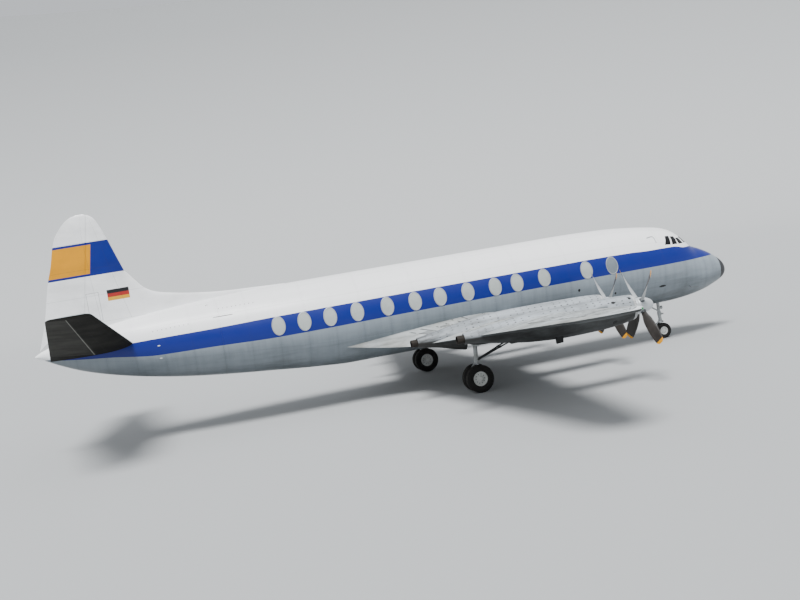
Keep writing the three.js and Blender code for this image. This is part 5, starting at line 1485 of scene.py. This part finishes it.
def add_fittings():
    stations = np.array([3.62, 3.5, 3.38, 3.32, 3.31, 3.31])
    heights = np.array([4.01, 4.025, 4.03, 4.0, 3.9, 3.78])
    rail = body_point(stations, body_turn(stations, heights, -1), 0.012)
    piece("crew_hatch_rail", tube(rail, 0.012, 8, 4), frame_alloy)
    dome = [(0.05, 0.012), (0.5, 0.011), (0.85, 0.006), (1.0, -0.004), (0.05, -0.01)]
    lamps = [badge(21.98, z, side, 0.05, 0.022, dome, 2.0, 32) for z in (2.86, 3.30) for side in (1, -1)]
    piece("rear_side_lamps", lamps, clear_lens)
    masts = []
    for side in (1, -1):
        root = body_point(np.array(2.05), np.array(side * 2.25))
        bends = [(0, 0, 0), (0.02, 0.10, -0.05), (0.12, 0.13, -0.07), (0.30, 0.13, -0.07)]
        masts.append(tube([root + np.array(bend) * (1, side, 1) for bend in bends], 0.011, 12))
    piece("pitot_masts", masts, steel)
    bulb = [(0, 0.02), (0.02, 0.034), (0.06, 0.036), (0.09, 0.028), (0.105, 0.015), (0.108, 0.002)]
    for (name, side), lens in zip(SIDES.items(), (red_lens, green_lens)):
        centre = wing_foil(side).point(np.array(HALF_SPAN - 0.30), np.array(0.02), np.array(0.0))
        lamp = turned(centre + (-0.05, -side * 0.02, 0), (0.86, side * 0.5, 0.05), bulb, 28)
        piece(f"wing_lamp_{name}", lamp, lens)
    cone = [(0, 0.034), (0.04, 0.03), (0.06, 0.02), (0.07, 0.002)]
    tail = turned((NOSE_X - 26.03, 0, 3.585), (-1, 0, 0), cone, 28)
    piece("tail_lamp", tail, clear_lens)


def dress_cad():
    """Hidden engine blocks keep their solid and take the casting's finish."""
    for side in SIDES:
        for which in ENGINES:
            cad = bpy.data.objects[f"engine_{side}_{which}"]
            cad.data.materials.clear()
            cad.data.materials.append(casting)


# Stage, light and camera

def add_stage():
    """Floor that rises smoothly to a far wall: height = 45 (1 - cos(a)) over a quarter turn, all round."""
    turn = np.linspace(0, pi / 2, 16)
    reach = np.concatenate([[0.0, 30.0, 70.0], 75 + 45 * np.sin(turn)])[:, None]
    height = np.concatenate([np.zeros(3), 45 * (1 - np.cos(turn))])[:, None]
    angle = circle(96)
    rings = np.stack([reach * np.cos(angle), reach * np.sin(angle), height + 0 * angle], -1)
    cell = np.arange(len(reach) * len(angle)).reshape(len(reach), len(angle))
    follow = np.roll(cell, -1, axis=1)
    quads = np.stack([cell[:-1], cell[1:], follow[1:], follow[:-1]], -1).reshape(-1, 4)
    mesh = bpy.data.meshes.new("studio_floor")
    mesh.from_pydata(rings.reshape(-1, 3).tolist(), [], quads.tolist())
    material, tree, shader = new_material("matt_pale_floor")
    surface(tree, shader, Base_Color="#adafb0", Roughness=0.9, Specular_IOR_Level=0.1)
    floor = smooth_object("studio_floor", mesh, material)


def add_light():
    world = bpy.context.scene.world or bpy.data.worlds.new("studio")
    bpy.context.scene.world = world
    world.use_nodes = True
    feed(world.node_tree, world.node_tree.nodes["Background"], {"Color": "#e6eaef", "Strength": 0.85})
    for name, way, power, soft in (("key_sun", (0.12, 0.40, -0.91), 5.2, 24),
                                   ("side_sun", (0.45, 0.75, -0.48), 0.5, 50)):
        lamp = bpy.data.lights.new(name, "SUN")
        lamp.energy, lamp.angle = power, radians(soft)
        sun = placed(bpy.data.objects.new(name, lamp))
        sun.rotation_euler = Vector(way).to_track_quat("-Z", "Y").to_euler()


CAMERA = {"at": (-8.134, -36.354, 5.81), "right": (0.96421852, -0.2081465, -0.16418795),
          "up": (0.14553137, -0.10208598, 0.9840727), "lens": 45.5, "aim": (-0.15, 0.0, 3.3)}


def add_camera():
    """The photograph's place and roll, turned a few degrees to centre the aircraft, with a longer lens."""
    place = Vector(CAMERA["at"])
    ahead = (Vector(CAMERA["aim"]) - place).normalized()
    right = Vector(CAMERA["right"])
    right = (right - ahead * right.dot(ahead)).normalized()
    turn = Matrix((right, right.cross(ahead), -ahead)).transposed().to_4x4()
    data = bpy.data.cameras.new("photo_camera")
    data.sensor_width, data.lens, data.clip_end = 36.0, CAMERA["lens"], 2000.0
    camera = placed(bpy.data.objects.new("photo_camera", data))
    camera.matrix_world = Matrix.Translation(place) @ turn
    bpy.context.scene.camera = camera


add_fuselage()
add_windows()
add_doors()
add_cockpit()
for side_name, side_sign in SIDES.items():
    add_wing(side_name, side_sign)
    add_tail(side_name, side_sign)
    add_main_gear(side_name, side_sign)
    for engine_name in ENGINES:
        add_engine(side_name, side_sign, engine_name)
add_fin()
add_nose_gear()
add_vents()
add_fittings()
dress_cad()
add_stage()
add_light()
add_camera()
